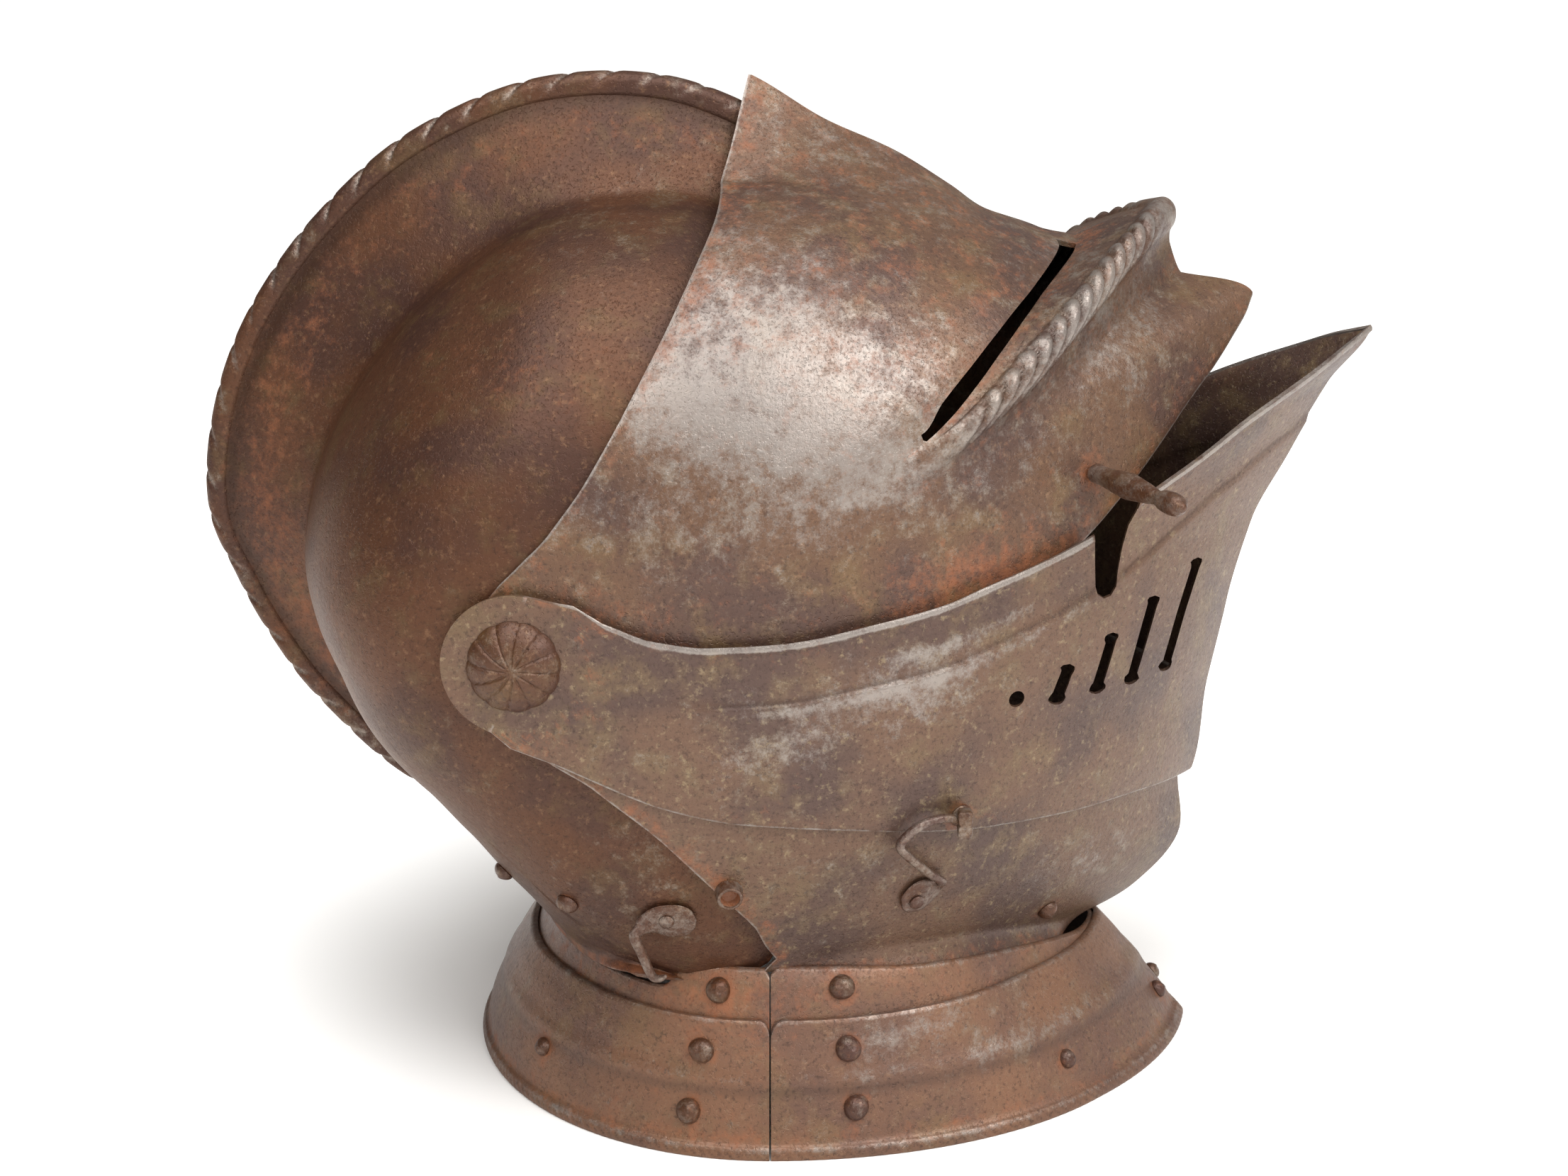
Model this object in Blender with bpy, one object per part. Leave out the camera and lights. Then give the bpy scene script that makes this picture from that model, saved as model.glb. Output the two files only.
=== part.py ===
"""Close helmet with a high roped comb, for Blender 4.5. Metres, +Z up.

The helmet faces +X and the wearer's right side is at -Y. It stands on the rim of its gorget at z = 0.
Visor, upper bevor and lower bevor turn on one pair of pivots, so each plate is a surface of sections
through the pivot axis: a flat disc round the pivot that swells into a bowl and ends in a keel.
"""

import math
from collections import namedtuple

import bmesh
import bpy
from mathutils import Vector

MM = 0.001

# Driving dimensions, in millimetres
PIVOT_X = -76.0
PIVOT_Z = 157.0
WALL = 1.5
PIVOT_HOLE = 4.6
BOWL_POWER = 2.2
COMB_EDGE_RADIUS = 4.0
FLANGE_WIDTH = 5.0
SEAM_X = -5.0
SEAM_GAP = 0.8
LAME_GAP = 0.4
RIM_HEIGHT = 4.0
RIVET_HEAD = 3.3
RIVET_SHANK = 1.5
CLEARANCE = 0.3
BURR_GAP = 1.2
ROSETTE_RADIUS = 13.0
PETALS = 12
PIVOT = Vector((PIVOT_X, 0.0, PIVOT_Z))
CENTRE = Vector((0.82, 0.0, 0.0))
ORIGIN = Vector((0.0, 0.0, 0.0))

Section = namedtuple("Section", "angle reach keel spread power")
Edge = namedtuple("Edge", "girth angle")
Level = namedtuple("Level", "height half_width front prow back")
Bar = namedtuple("Bar", "x y z width thickness")
Crease = namedtuple("Crease", "girth foot crest shelf brow lift")
Top = namedtuple("Top", "advance height")
Spot = namedtuple("Spot", "x z")
Lifted = namedtuple("Lifted", "x z lift width thickness")
LameRivet = namedtuple("LameRivet", "name x z layers")
Slot = namedtuple("Slot", "top_x top_z foot_x foot_z half")
Corner = namedtuple("Corner", "radius angle")
Finish = namedtuple("Finish", "colour roughness metallic")

RUSTED = Finish((0.12, 0.07, 0.05), 0.5, 0.6)
RUBBED = Finish((0.26, 0.2, 0.16), 0.38, 0.8)

# Sections: angle in degrees up from straight ahead, reach of the bowl from the pivot axis,
# height of the keel above the bowl, half width of the keel's foot, power of its flank.
SKULL_SECTIONS = [
    Section(-4, 165, 0, 18, 1.1),
    Section(20, 150, 0, 18, 1.1),
    Section(35, 141, 6, 18, 1.1),
    Section(48, 137, 20, 18, 1.1),
    Section(58, 133.6, 26, 18, 1.1),
    Section(66, 131.6, 28.4, 18, 1.1),
    Section(76, 125.5, 34.3, 18, 1.1),
    Section(88, 117.3, 37.8, 18, 1.1),
    Section(98, 107, 41.7, 18, 1.1),
    Section(109, 98.5, 42.7, 18, 1.1),
    Section(122, 89.5, 42.6, 18, 1.1),
    Section(135, 83.5, 41.7, 17, 1.1),
    Section(156, 77.5, 38.5, 16, 1.1),
    Section(170, 75, 35, 15, 1.1),
    Section(182, 71.6, 29, 14, 1.1),
    Section(200, 67.8, 24.0, 12, 1.1),
    Section(216, 68.8, 18.5, 10, 1.1),
    Section(238, 72.2, 14.4, 9, 1.1),
    Section(253, 81.0, 7.6, 8, 1.1),
    Section(264.7, 96.1, 0, 8, 1.1),
    Section(268.9, 103.4, 0, 8, 1.1),
    Section(275.3, 119.2, 0, 8, 1.1),
    Section(283.6, 141, 0, 8, 1.1),
    Section(289.5, 157, 0, 8, 1.1),
    Section(295.4, 171, 0, 8, 1.1),
    Section(303.5, 181, 0, 8, 1.1),
    Section(320, 180, 0, 8, 1.1),
    Section(356, 165, 0, 18, 1.1),
]
VISOR_SECTIONS = [
    Section(-80, 178, 0, 60, 1.5),
    Section(-20, 180, 30, 76, 1.6),
    Section(0, 182, 44, 80, 1.6),
    Section(12, 183, 52, 80, 1.6),
    Section(21.7, 184, 54, 76, 1.6),
    Section(26, 189, 29, 60, 1.5),
    Section(31, 190, 13, 44, 1.4),
    Section(35.5, 185, 3, 34, 1.3),
    Section(40, 177, 1.5, 30, 1.3),
    Section(44, 172, 3.4, 28, 1.3),
    Section(50, 163, 8.7, 26, 1.3),
    Section(58.5, 149, 17.5, 24, 1.3),
    Section(68, 138, 30, 23, 1.2),
    Section(80, 136, 32, 23, 1.2),
    Section(118, 136, 32, 23, 1.2),
]
UPPER_SECTIONS = [
    Section(-120, 184, 0, 62, 1.5),
    Section(-60, 190, 0, 62, 1.5),
    Section(-35, 194, 12, 66, 1.5),
    Section(-18, 193, 27.4, 74, 1.6),
    Section(-10, 190, 26.4, 76, 1.6),
    Section(-3, 190, 28.2, 78, 1.6),
    Section(4, 190, 35, 80, 1.6),
    Section(9.4, 190, 49, 82, 1.4),
    Section(13.7, 191, 63, 84, 1.0),
    Section(16.8, 193, 77.5, 84, 0.92),
    Section(80, 193, 77.5, 84, 0.92),
]
LOWER_SECTIONS = [
    Section(-120, 180, 0, 62, 1.5),
    Section(-60, 182, 0, 62, 1.5),
    Section(-52, 184, 2, 62, 1.5),
    Section(-45, 187, 5, 62, 1.5),
    Section(-40, 188.5, 12, 64, 1.5),
    Section(-33.8, 190, 24, 66, 1.5),
    Section(-29.5, 191, 30.5, 68, 1.5),
    Section(-24, 190, 35.5, 70, 1.5),
    Section(-18.6, 186, 30.5, 74, 1.5),
    Section(-10, 184, 28, 74, 1.5),
    Section(80, 184, 28, 74, 1.5),
]

# Edges of the plates: girth runs from 0 on the keel to 1 at the pivot disc.
VISOR_LOWER_EDGE = [
    Edge(0.0, 21.7), Edge(0.015, 20.8), Edge(0.047, 19.7), Edge(0.092, 18.3), Edge(0.131, 17.25),
    Edge(0.158, 16.45), Edge(0.211, 14.55), Edge(0.261, 12.6), Edge(0.3, 11.0), Edge(0.36, 8.5),
    Edge(0.5, 3.0), Edge(0.7, -8.0), Edge(0.9, -30.0), Edge(1.0, -80.0),
]
VISOR_BACK_EDGE = [
    Edge(0.0, 67.4), Edge(0.097, 66.0), Edge(0.339, 64.6), Edge(0.529, 64.7),
    Edge(0.706, 65.7), Edge(0.824, 67.9), Edge(0.914, 74.6), Edge(0.974, 92.0), Edge(1.0, 118.0),
]
UPPER_TOP_EDGE = [
    Edge(0.0, 16.9), Edge(0.026, 16.76), Edge(0.049, 16.62), Edge(0.071, 16.41), Edge(0.111, 15.91),
    Edge(0.155, 15.35), Edge(0.199, 14.64), Edge(0.235, 13.74), Edge(0.266, 12.83), Edge(0.317, 11.34),
    Edge(0.37, 9.55), Edge(0.423, 8.63), Edge(0.478, 7.95), Edge(0.56, 7.0), Edge(0.612, 6.1),
    Edge(0.716, 5.1), Edge(0.808, 4.0), Edge(0.89, 5.1), Edge(0.943, 10.3), Edge(0.979, 25.5),
    Edge(0.99, 46.0), Edge(1.0, 78.0),
]
UPPER_BOTTOM_EDGE = [
    Edge(0.0, -18.3), Edge(0.175, -19.0), Edge(0.35, -21.1), Edge(0.505, -24.0), Edge(0.66, -28.5),
    Edge(0.749, -33.4), Edge(0.827, -40.8), Edge(0.88, -47.4), Edge(0.934, -56.8),
    Edge(0.973, -71.9), Edge(1.0, -110.0),
]
LOWER_TOP_EDGE = [
    Edge(0.0, -10.0), Edge(0.4, -10.0), Edge(0.7, -9.0), Edge(0.88, -5.0), Edge(0.94, 0.0), Edge(0.97, 10.0),
    Edge(1.0, 50.0),
]
LOWER_BACK_EDGE = [
    Edge(0.0, -34.5), Edge(0.133, -36.7), Edge(0.255, -40.8), Edge(0.475, -47.2), Edge(0.565, -53.6),
    Edge(0.618, -53.2), Edge(0.667, -52.1), Edge(0.737, -52.5), Edge(0.826, -53.6),
    Edge(0.921, -60.4), Edge(0.981, -80.6), Edge(1.0, -105.0),
]
SKULL_FRONT_EDGE = [
    Edge(0.0, 48.0), Edge(0.36, 42.4), Edge(0.674, 29.5), Edge(0.78, 15.0), Edge(0.83, -4.0),
    Edge(1.0, -4.0),
]
SKULL_LOWER_EDGE = [
    Edge(0.0, 270.5), Edge(0.208, 272.3), Edge(0.36, 278.0), Edge(0.487, 284.5), Edge(0.546, 290.0),
    Edge(0.575, 291.2), Edge(0.605, 304.0), Edge(0.668, 313.5), Edge(0.764, 325.4), Edge(0.83, 356.0),
    Edge(1.0, 356.0),
]

# The visor's sight: angles of the ridge's foot and crest, of the shelf behind and of the brow above the slit.
SIGHT = [
    Crease(0.0, 28.2, 31.2, 32.9, 35.0, 21.8),
    Crease(0.08, 28.4, 31.4, 32.4, 33.5, 21.2),
    Crease(0.16, 28.3, 31.4, 32.3, 33.3, 19.9),
    Crease(0.24, 27.8, 30.9, 32.1, 33.1, 18.2),
    Crease(0.32, 27.2, 30.1, 31.6, 32.85, 16.0),
    Crease(0.4, 26.3, 28.9, 30.6, 32.2, 13.0),
    Crease(0.47, 25.6, 27.6, 29.2, 31.2, 9.4),
    Crease(0.53, 24.6, 26.4, 27.8, 29.9, 5.6),
    Crease(0.574, 24.0, 25.8, 27.0, 28.1, 2.8),
    Crease(0.64, 22.4, 24.6, 26.4, 28.4, 0.0),
    Crease(1.0, -12.0, 5.0, 22.0, 40.0, 0.0),
]
SIGHT_BRIDGE = 0.045
SIGHT_END = 0.574

# Gorget: height, half width, reach to the front, prow on the front, reach to the back.
GORGET = [
    Level(0, 98.0, 124, 10, -101),
    Level(9, 96.0, 118.5, 10, -99.5),
    Level(20, 93.5, 111, 9, -95),
    Level(30, 91.5, 103, 9, -90),
    Level(40, 89.5, 95, 8, -83.5),
    Level(50, 86.8, 89, 5, -79),
    Level(60, 81.0, 83, 3, -75),
]

# Top edges of the lames: advance is 0 at the seam and 1 at the keel.
FRONT_UPPER_TOP = [
    Top(0.0, 55.3), Top(0.25, 54.3), Top(0.47, 52.0), Top(0.6, 50.5), Top(0.8, 46.5), Top(0.93, 40.5),
    Top(1.0, 35.5),
]
FRONT_LOWER_TOP = [Top(0.0, 41.0), Top(0.8, 40.0), Top(1.0, 37.6)]
REAR_UPPER_TOP = [
    Top(0.0, 54.8), Top(0.34, 54.6), Top(0.39, 52.5), Top(0.44, 47.0), Top(0.5, 46.5), Top(1.0, 46.5),
]


# Places on the right side: distance forward and height, with the lift off the plate.
REAR_RIVETS = [
    LameRivet("rear_upper_rivet", -20.5, 48.6, 1),
    LameRivet("rear_middle_rivet", -25.5, 31.5, 2),
    LameRivet("rear_rim_rivet", -29.5, 13.1, 1),
    LameRivet("rear_strap_rivet", -76.1, 17.4, 1),
]
FRONT_RIVETS = [
    LameRivet("front_upper_rivet", 16.5, 49.3, 1),
    LameRivet("front_middle_rivet", 18.4, 32.2, 2),
    LameRivet("front_rim_rivet", 20.8, 14.6, 1),
    LameRivet("front_strap_rivet", 87.8, 13.9, 1),
    LameRivet("front_prow_rivet", 124.6, 12.0, 1),
]
LINING_RIVET = Spot(-64.8, 77.0)
NAPE_RIVET = Spot(-86.0, 78.0)
BEVOR_RIVET = Spot(82.7, 54.5)
UPPER_STUD = Spot(53.2, 101.0)
LOWER_STUD = Spot(-15.8, 82.9)
BEVOR_HOOK_RIVET = Spot(38.0, 75.6)
SKULL_HOOK_RIVET = Spot(-35.3, 74.8)

BREATHS = [
    Slot(83.5, 145.2, 79.4, 133.9, 1.75),
    Slot(97.5, 151.7, 92.8, 133.8, 1.6),
    Slot(111.6, 159.6, 104.6, 133.2, 1.5),
    Slot(127.0, 167.3, 117.1, 133.1, 1.35),
]
BREATH_HOLE = Spot(67.1, 138.0)

# The notch in the upper bevor follows the peg's path round the pivot: radii and angle.
NOTCH = [
    Corner(168.4, 20.0), Corner(168.4, 12.0), Corner(168.0, 4.6), Corner(168.6, 2.8), Corner(171.0, 2.5),
    Corner(173.6, 3.0), Corner(175.2, 4.2), Corner(176.6, 7.4), Corner(178.6, 9.4), Corner(181.6, 10.8),
    Corner(187.0, 13.0), Corner(187.0, 20.0),
]

BEVOR_HOOK = [
    Lifted(34.6, 70.9, 1.1, 3.0, 1.4),
    Lifted(36.0, 72.8, 1.1, 6.4, 1.5),
    Lifted(38.0, 75.6, 1.1, 7.2, 1.5),
    Lifted(40.6, 78.8, 1.2, 6.0, 1.5),
    Lifted(42.8, 81.4, 2.4, 3.6, 1.7),
    Lifted(41.4, 84.6, 4.0, 2.4, 2.0),
    Lifted(38.2, 88.6, 4.8, 2.1, 2.1),
    Lifted(34.4, 93.0, 5.2, 2.1, 2.1),
    Lifted(33.2, 96.6, 5.6, 2.1, 2.1),
    Lifted(34.6, 100.2, 6.0, 2.1, 2.1),
    Lifted(38.4, 103.2, 6.6, 2.1, 2.1),
    Lifted(43.4, 105.0, 7.4, 2.1, 2.1),
    Lifted(48.6, 104.9, 8.2, 1.9, 1.9),
]
SKULL_HOOK = [
    Lifted(-28.2, 74.0, 1.1, 4.0, 1.4),
    Lifted(-29.8, 74.3, 1.1, 7.2, 1.5),
    Lifted(-33.0, 74.7, 1.1, 8.8, 1.6),
    Lifted(-36.6, 74.6, 1.2, 8.2, 1.6),
    Lifted(-40.4, 73.3, 1.6, 6.0, 1.7),
    Lifted(-43.6, 71.2, 3.2, 4.2, 2.4),
    Lifted(-43.8, 67.6, 5.6, 3.4, 2.9),
    Lifted(-42.4, 63.6, 7.4, 3.2, 3.0),
    Lifted(-40.8, 59.4, 9.0, 2.8, 2.8),
    Lifted(-39.8, 55.4, 9.6, 1.8, 1.8),
    Lifted(-39.5, 54.0, 9.6, 0.9, 0.9),
]
PEG = [
    Bar(89.8, -53.7, 200.9, 5.6, 5.6),
    Bar(90.6, -55.3, 200.9, 5.6, 5.6),
    Bar(91.8, -57.6, 200.8, 5.0, 5.0),
    Bar(93.5, -61.2, 200.7, 5.2, 5.0),
    Bar(96.0, -66.3, 200.6, 6.8, 5.8),
    Bar(98.0, -70.2, 200.5, 7.6, 7.0),
    Bar(99.0, -72.2, 200.4, 7.0, 5.8),
    Bar(101.9, -78.1, 200.3, 5.6, 4.8),
    Bar(104.6, -83.6, 200.1, 4.4, 4.2),
    Bar(105.6, -85.5, 200.1, 6.8, 6.6),
    Bar(107.4, -89.1, 200.0, 8.0, 7.8),
    Bar(108.7, -91.8, 199.9, 7.0, 6.8),
    Bar(109.3, -93.2, 199.9, 3.4, 3.4),
]


def blend(rows, key, column, value):
    """Value of a table's column at a key, smooth between its rows and never past them."""
    keys = [getattr(row, key) for row in rows]
    data = [getattr(row, column) for row in rows]
    if value <= keys[0]:
        return data[0]
    if value >= keys[-1]:
        return data[-1]
    slopes = [(data[i + 1] - data[i]) / (keys[i + 1] - keys[i]) for i in range(len(rows) - 1)]
    i = max(j for j in range(len(slopes)) if keys[j] <= value)

    def tangent(j):
        if j == 0 or j == len(slopes):
            return slopes[min(j, len(slopes) - 1)]
        before, after = slopes[j - 1], slopes[j]
        return 0.0 if before * after <= 0 else 2 * before * after / (before + after)

    span = keys[i + 1] - keys[i]
    t = (value - keys[i]) / span
    start, end = data[i], data[i + 1]
    bend = span * t * (1 - t) * ((1 - t) * tangent(i) - t * tangent(i + 1))
    return start + (end - start) * t * t * (3 - 2 * t) + bend


class Form:
    """Outer surface of a plate that turns on the pivots, in millimetres."""

    def __init__(self, half_width, disc, sections, edge_radius=0.0):
        self.half_width = half_width
        self.disc = disc
        self.sections = sections
        self.edge_radius = edge_radius

    def girth_at(self, y):
        return math.degrees(math.asin(min(1.0, abs(y) / self.half_width) ** (BOWL_POWER / 2))) / 90

    def reach(self, angle, girth):
        """Distance from the pivot axis, with the keel or comb."""
        column = {name: blend(self.sections, "angle", name, angle) for name in Section._fields[1:]}
        turn = math.radians(90 * min(1.0, abs(girth)))
        y = self.half_width * math.sin(turn) ** (2 / BOWL_POWER)
        bowl = self.disc + (column["reach"] - self.disc) * max(0.0, math.cos(turn)) ** (2 / BOWL_POWER)
        edge = min(self.edge_radius, column["keel"] / 3)
        if y < edge:
            return bowl + column["keel"] - edge + math.sqrt(edge * edge - y * y)
        share = max(0.0, 1 - (y - edge) / (column["spread"] - edge))
        return bowl + (column["keel"] - 2 * edge) * share ** column["power"]

    def point(self, angle, girth, lift=0.0):
        turn = math.radians(90 * min(1.0, abs(girth)))
        y = math.copysign(self.half_width * math.sin(turn) ** (2 / BOWL_POWER), girth)
        r = self.reach(angle, girth) + lift
        a = math.radians(angle)
        return Vector((PIVOT_X + r * math.cos(a), y, PIVOT_Z + r * math.sin(a)))

    def normal(self, angle, girth):
        step = 0.01
        side = self.point(angle, girth + step) - self.point(angle, girth - step)
        rise = self.point(angle + 1, girth) - self.point(angle - 1, girth)
        return side.cross(rise).normalized()

    def seat(self, x, z, lift=0.0):
        """Place on the right side at a distance forward and a height, and the outward direction there."""
        angle = math.degrees(math.atan2(z - PIVOT_Z, x - PIVOT_X))
        if angle < self.sections[0].angle:
            angle += 360
        goal = math.hypot(x - PIVOT_X, z - PIVOT_Z)
        low, high = 0.0, 1.0
        for _ in range(40):
            girth = (low + high) / 2
            if self.reach(angle, girth) > goal:
                low = girth
            else:
                high = girth
        out = self.normal(angle, -high)
        return self.point(angle, -high) + out * lift, out


SKULL = Form(98.0, 18.0, SKULL_SECTIONS, COMB_EDGE_RADIUS)
VISOR = Form(100.0, 18.5, VISOR_SECTIONS)
LOWER = Form(102.0, 19.5, LOWER_SECTIONS)
UPPER = Form(104.0, 20.5, UPPER_SECTIONS)


def both_sides(girths):
    """Stations from the right pivot over the keel to the left one."""
    return [-g for g in reversed(girths) if g > 0] + list(girths)


def material(name, finish):
    made = bpy.data.materials.new(name)
    made.use_nodes = True
    shader = made.node_tree.nodes["Principled BSDF"]
    shader.inputs["Base Color"].default_value = (*finish.colour, 1)
    shader.inputs["Roughness"].default_value = finish.roughness
    shader.inputs["Metallic"].default_value = finish.metallic
    return made


def new_object(name, mesh, finish, origin=ORIGIN):
    """Object whose mesh is drawn round its origin, shaded smooth but for its creases."""
    obj = bpy.data.objects.new(name, mesh)
    obj.location = (origin + CENTRE) * MM
    bpy.context.collection.objects.link(obj)
    mesh.shade_smooth()
    mesh.set_sharp_from_angle(angle=math.radians(35))
    if finish:
        mesh.materials.append(material(name + "_steel", finish))
    return obj


def world_place(obj):
    return obj.location + world_place(obj.parent) if obj.parent else obj.location.copy()


def ride(obj, carrier):
    """Parents an object to the piece that carries it, and leaves it where it is."""
    place = world_place(obj)
    obj.parent = carrier
    obj.location = place - world_place(carrier)


def surface_mesh(name, quads, origin=ORIGIN):
    """Mesh of quads and triangles given as millimetre corners, shared corners made one."""
    bm = bmesh.new()
    for corners in quads:
        bm.faces.new([bm.verts.new((corner - origin) * MM) for corner in corners])
    bmesh.ops.remove_doubles(bm, verts=bm.verts, dist=0.02 * MM)
    bmesh.ops.dissolve_degenerate(bm, edges=bm.edges, dist=0.01 * MM)
    mesh = bpy.data.meshes.new(name)
    bm.to_mesh(mesh)
    bm.free()
    return mesh


def solidify(obj, thickness=WALL, even=True):
    modifier = obj.modifiers.new("wall", "SOLIDIFY")
    modifier.thickness = thickness * MM
    modifier.offset = -1
    modifier.use_even_offset = even
    return modifier


def cutter(mesh):
    obj = new_object(mesh.name, mesh, None)
    obj.hide_render = True
    obj.display_type = "WIRE"
    return obj


def cut(obj, tool):
    modifier = obj.modifiers.new("cut " + tool.name, "BOOLEAN")
    modifier.operation = "DIFFERENCE"
    modifier.object = tool
    ride(tool, obj)


def grid_quads(columns):
    """Quads between neighbouring columns of points."""
    quads = []
    for left, right in zip(columns, columns[1:]):
        for i in range(len(left) - 1):
            quads.append((left[i], right[i], right[i + 1], left[i + 1]))
    return quads


def pivot_point(form, side, radius, angle):
    a = math.radians(angle)
    return Vector((PIVOT_X + radius * math.cos(a), side * form.half_width, PIVOT_Z + radius * math.sin(a)))


def lobe_quads(form, side, arm_angles):
    """Flat ring round a pivot hole. It shares the arm's corners and goes on round the back."""
    back = 360 - (arm_angles[-1] - arm_angles[0])
    steps = max(0, round(back / 24))
    angles = list(arm_angles) + [arm_angles[-1] + back * (i + 1) / steps for i in range(steps)]
    quads = []
    for a, b in zip(angles, angles[1:]):
        ring = [pivot_point(form, side, form.disc, a), pivot_point(form, side, form.disc, b)]
        hole = [pivot_point(form, side, PIVOT_HOLE, b), pivot_point(form, side, PIVOT_HOLE, a)]
        quads.append(tuple(ring + hole) if side < 0 else tuple(reversed(ring + hole)))
    return quads


def plate(name, form, girths, row_points, row_angles, finish, skip=None, even=True):
    """Plate over the girth stations, from one pivot ring to the other."""
    stations = both_sides(girths)
    columns = [row_points(girth) for girth in stations]
    quads = grid_quads(columns)
    if skip:
        rows = len(columns[0]) - 1
        kept = []
        for i, quad in enumerate(quads):
            if not skip(stations[i // rows], stations[i // rows + 1], i % rows):
                kept.append(quad)
        quads = kept
    for side in (-1, 1):
        quads += lobe_quads(form, side, row_angles(side * 1.0))
    obj = new_object(name, surface_mesh(name, quads, PIVOT), finish, PIVOT)
    solidify(obj, even=even)
    return obj


def spread_rows(start, end, count):
    return [start + (end - start) * i / count for i in range(count + 1)]


def simple_plate(name, form, girths, bottom, top, rows, finish):
    def angles(girth):
        low = blend(bottom, "girth", "angle", abs(girth))
        high = blend(top, "girth", "angle", abs(girth))
        return spread_rows(low, high, rows)

    def points(girth):
        return [form.point(angle, girth) for angle in angles(girth)]

    return plate(name, form, girths, points, angles, finish)


def visor_rows(girth):
    """Angle and lift of each row of the visor, lower edge first."""
    g = abs(girth)
    low = blend(VISOR_LOWER_EDGE, "girth", "angle", g)
    back = blend(VISOR_BACK_EDGE, "girth", "angle", g)
    foot, crest, shelf, brow, lift = (blend(SIGHT, "girth", c, g) for c in Crease._fields[1:])
    hollow = foot - 2.6 - 24 * max(0.0, g - 0.64)
    rows = [(low, 0.0), (low + (hollow - low) * 0.5, 0.0), (hollow, 0.0), (foot, 0.45 * lift)]
    rows += [(crest, lift), (shelf, 0.0), (brow, 0.0)]
    rows += [(angle, 0.0) for angle in spread_rows(brow, back, 4)[1:]]
    return rows


SLIT_ROW = 5


def make_visor(finish):
    girths = [0, SIGHT_BRIDGE, 0.1, 0.17, 0.25, 0.33, 0.42, 0.5, SIGHT_END, 0.66, 0.76, 0.85, 0.92, 0.97, 1]

    def points(girth):
        return [VISOR.point(angle, girth, lift) for angle, lift in visor_rows(girth)]

    def angles(girth):
        return [angle for angle, _ in visor_rows(girth)]

    def in_slit(left, right, row):
        inner, outer = sorted((abs(left), abs(right)))
        return row == SLIT_ROW and inner > SIGHT_BRIDGE - 0.001 and outer < SIGHT_END + 0.001

    return plate("visor", VISOR, girths, points, angles, finish, in_slit)


def make_skull(finish):
    comb = [0, 2.8, 4.0, 10.0, 18.0, 30.0, 46.0, 60.0]
    girths = [SKULL.girth_at(y) for y in comb]
    girths += [0.515, 0.546, 0.575, 0.605, 0.65, 0.7, 0.765, 0.83, 0.9, 0.96, 1]
    rows = 14
    flange_row = 0.965

    def angles(girth):
        front = blend(SKULL_FRONT_EDGE, "girth", "angle", abs(girth))
        lower = blend(SKULL_LOWER_EDGE, "girth", "angle", abs(girth))
        return spread_rows(front, front + (lower - front) * flange_row, rows - 1) + [lower]

    def points(girth):
        column = [SKULL.point(angle, girth) for angle in angles(girth)]
        if abs(girth) < 0.55:
            neck = column[-1]
            out = Vector((neck.x - SEAM_X, neck.y, 0)).normalized()
            column[-1] = neck + out * FLANGE_WIDTH
        return column

    return plate("skull", SKULL, girths, points, angles, finish, even=False)


def make_upper_bevor(finish):
    girths = [0, 0.07, 0.15, 0.23, 0.31, 0.4, 0.5, 0.6, 0.69, 0.77, 0.84, 0.89, 0.93, 0.96, 0.98, 0.99, 1]
    return simple_plate("upper_bevor", UPPER, girths, UPPER_BOTTOM_EDGE, UPPER_TOP_EDGE, 5, finish)


def seated_edge(girth):
    """Angle and outward turn of the lower bevor's edge, so that it sits on the upper lame."""
    low, high = -64.0, -30.0
    for _ in range(30):
        angle = (low + high) / 2
        place = LOWER.point(angle, girth)
        turn = plan_turn(place)
        seat = blend(FRONT_UPPER_TOP, "advance", "height", max(0.0, math.cos(turn))) + 1.3
        if place.z > seat:
            high = angle
        else:
            low = angle
    rim = lame_point(place.z, math.degrees(turn), 2.0)
    return angle, math.hypot(rim.x - place.x, rim.y - place.y)


def make_lower_bevor(finish):
    girths = [0, 0.08, 0.16, 0.27, 0.38, 0.49, 0.565, 0.62, 0.68, 0.75, 0.82, 0.88, 0.93, 0.97, 1]

    def angles(girth):
        g = abs(girth)
        top = blend(LOWER_TOP_EDGE, "girth", "angle", g)
        seat = seated_edge(g)[0] if g < 0.58 else 0.0
        share = min(1.0, max(0.0, (g - 0.05) / 0.2))
        back = blend(LOWER_BACK_EDGE, "girth", "angle", g)
        edge = back + (seat - back) * share if g < 0.58 else back
        return [edge] + spread_rows(edge + 0.1 * (top - edge), top, 4)

    def points(girth):
        column = [LOWER.point(angle, girth) for angle in angles(girth)]
        g = abs(girth)
        if 0.05 < g < 0.58:
            flare = seated_edge(g)[1] * min(1.0, (g - 0.05) / 0.2)
            out = plan_normal(column[0])
            column[0] = column[0] + out * flare
        return column

    return plate("lower_bevor", LOWER, girths, points, angles, finish)


def plan_turn(place):
    """Direction of a point round the gorget, in radians from the front."""
    half_width = blend(GORGET, "height", "half_width", place.z)
    reach = blend(GORGET, "height", "front" if place.x > SEAM_X else "back", place.z)
    return math.atan2(place.y / half_width, (place.x - SEAM_X) / abs(reach - SEAM_X))


def plan_normal(place):
    """Outward direction across the gorget at a point, level with the ground."""
    half_width = blend(GORGET, "height", "half_width", place.z)
    reach = blend(GORGET, "height", "front" if place.x > SEAM_X else "back", place.z)
    return Vector(((place.x - SEAM_X) / (reach - SEAM_X) ** 2, place.y / half_width**2, 0)).normalized()


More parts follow.
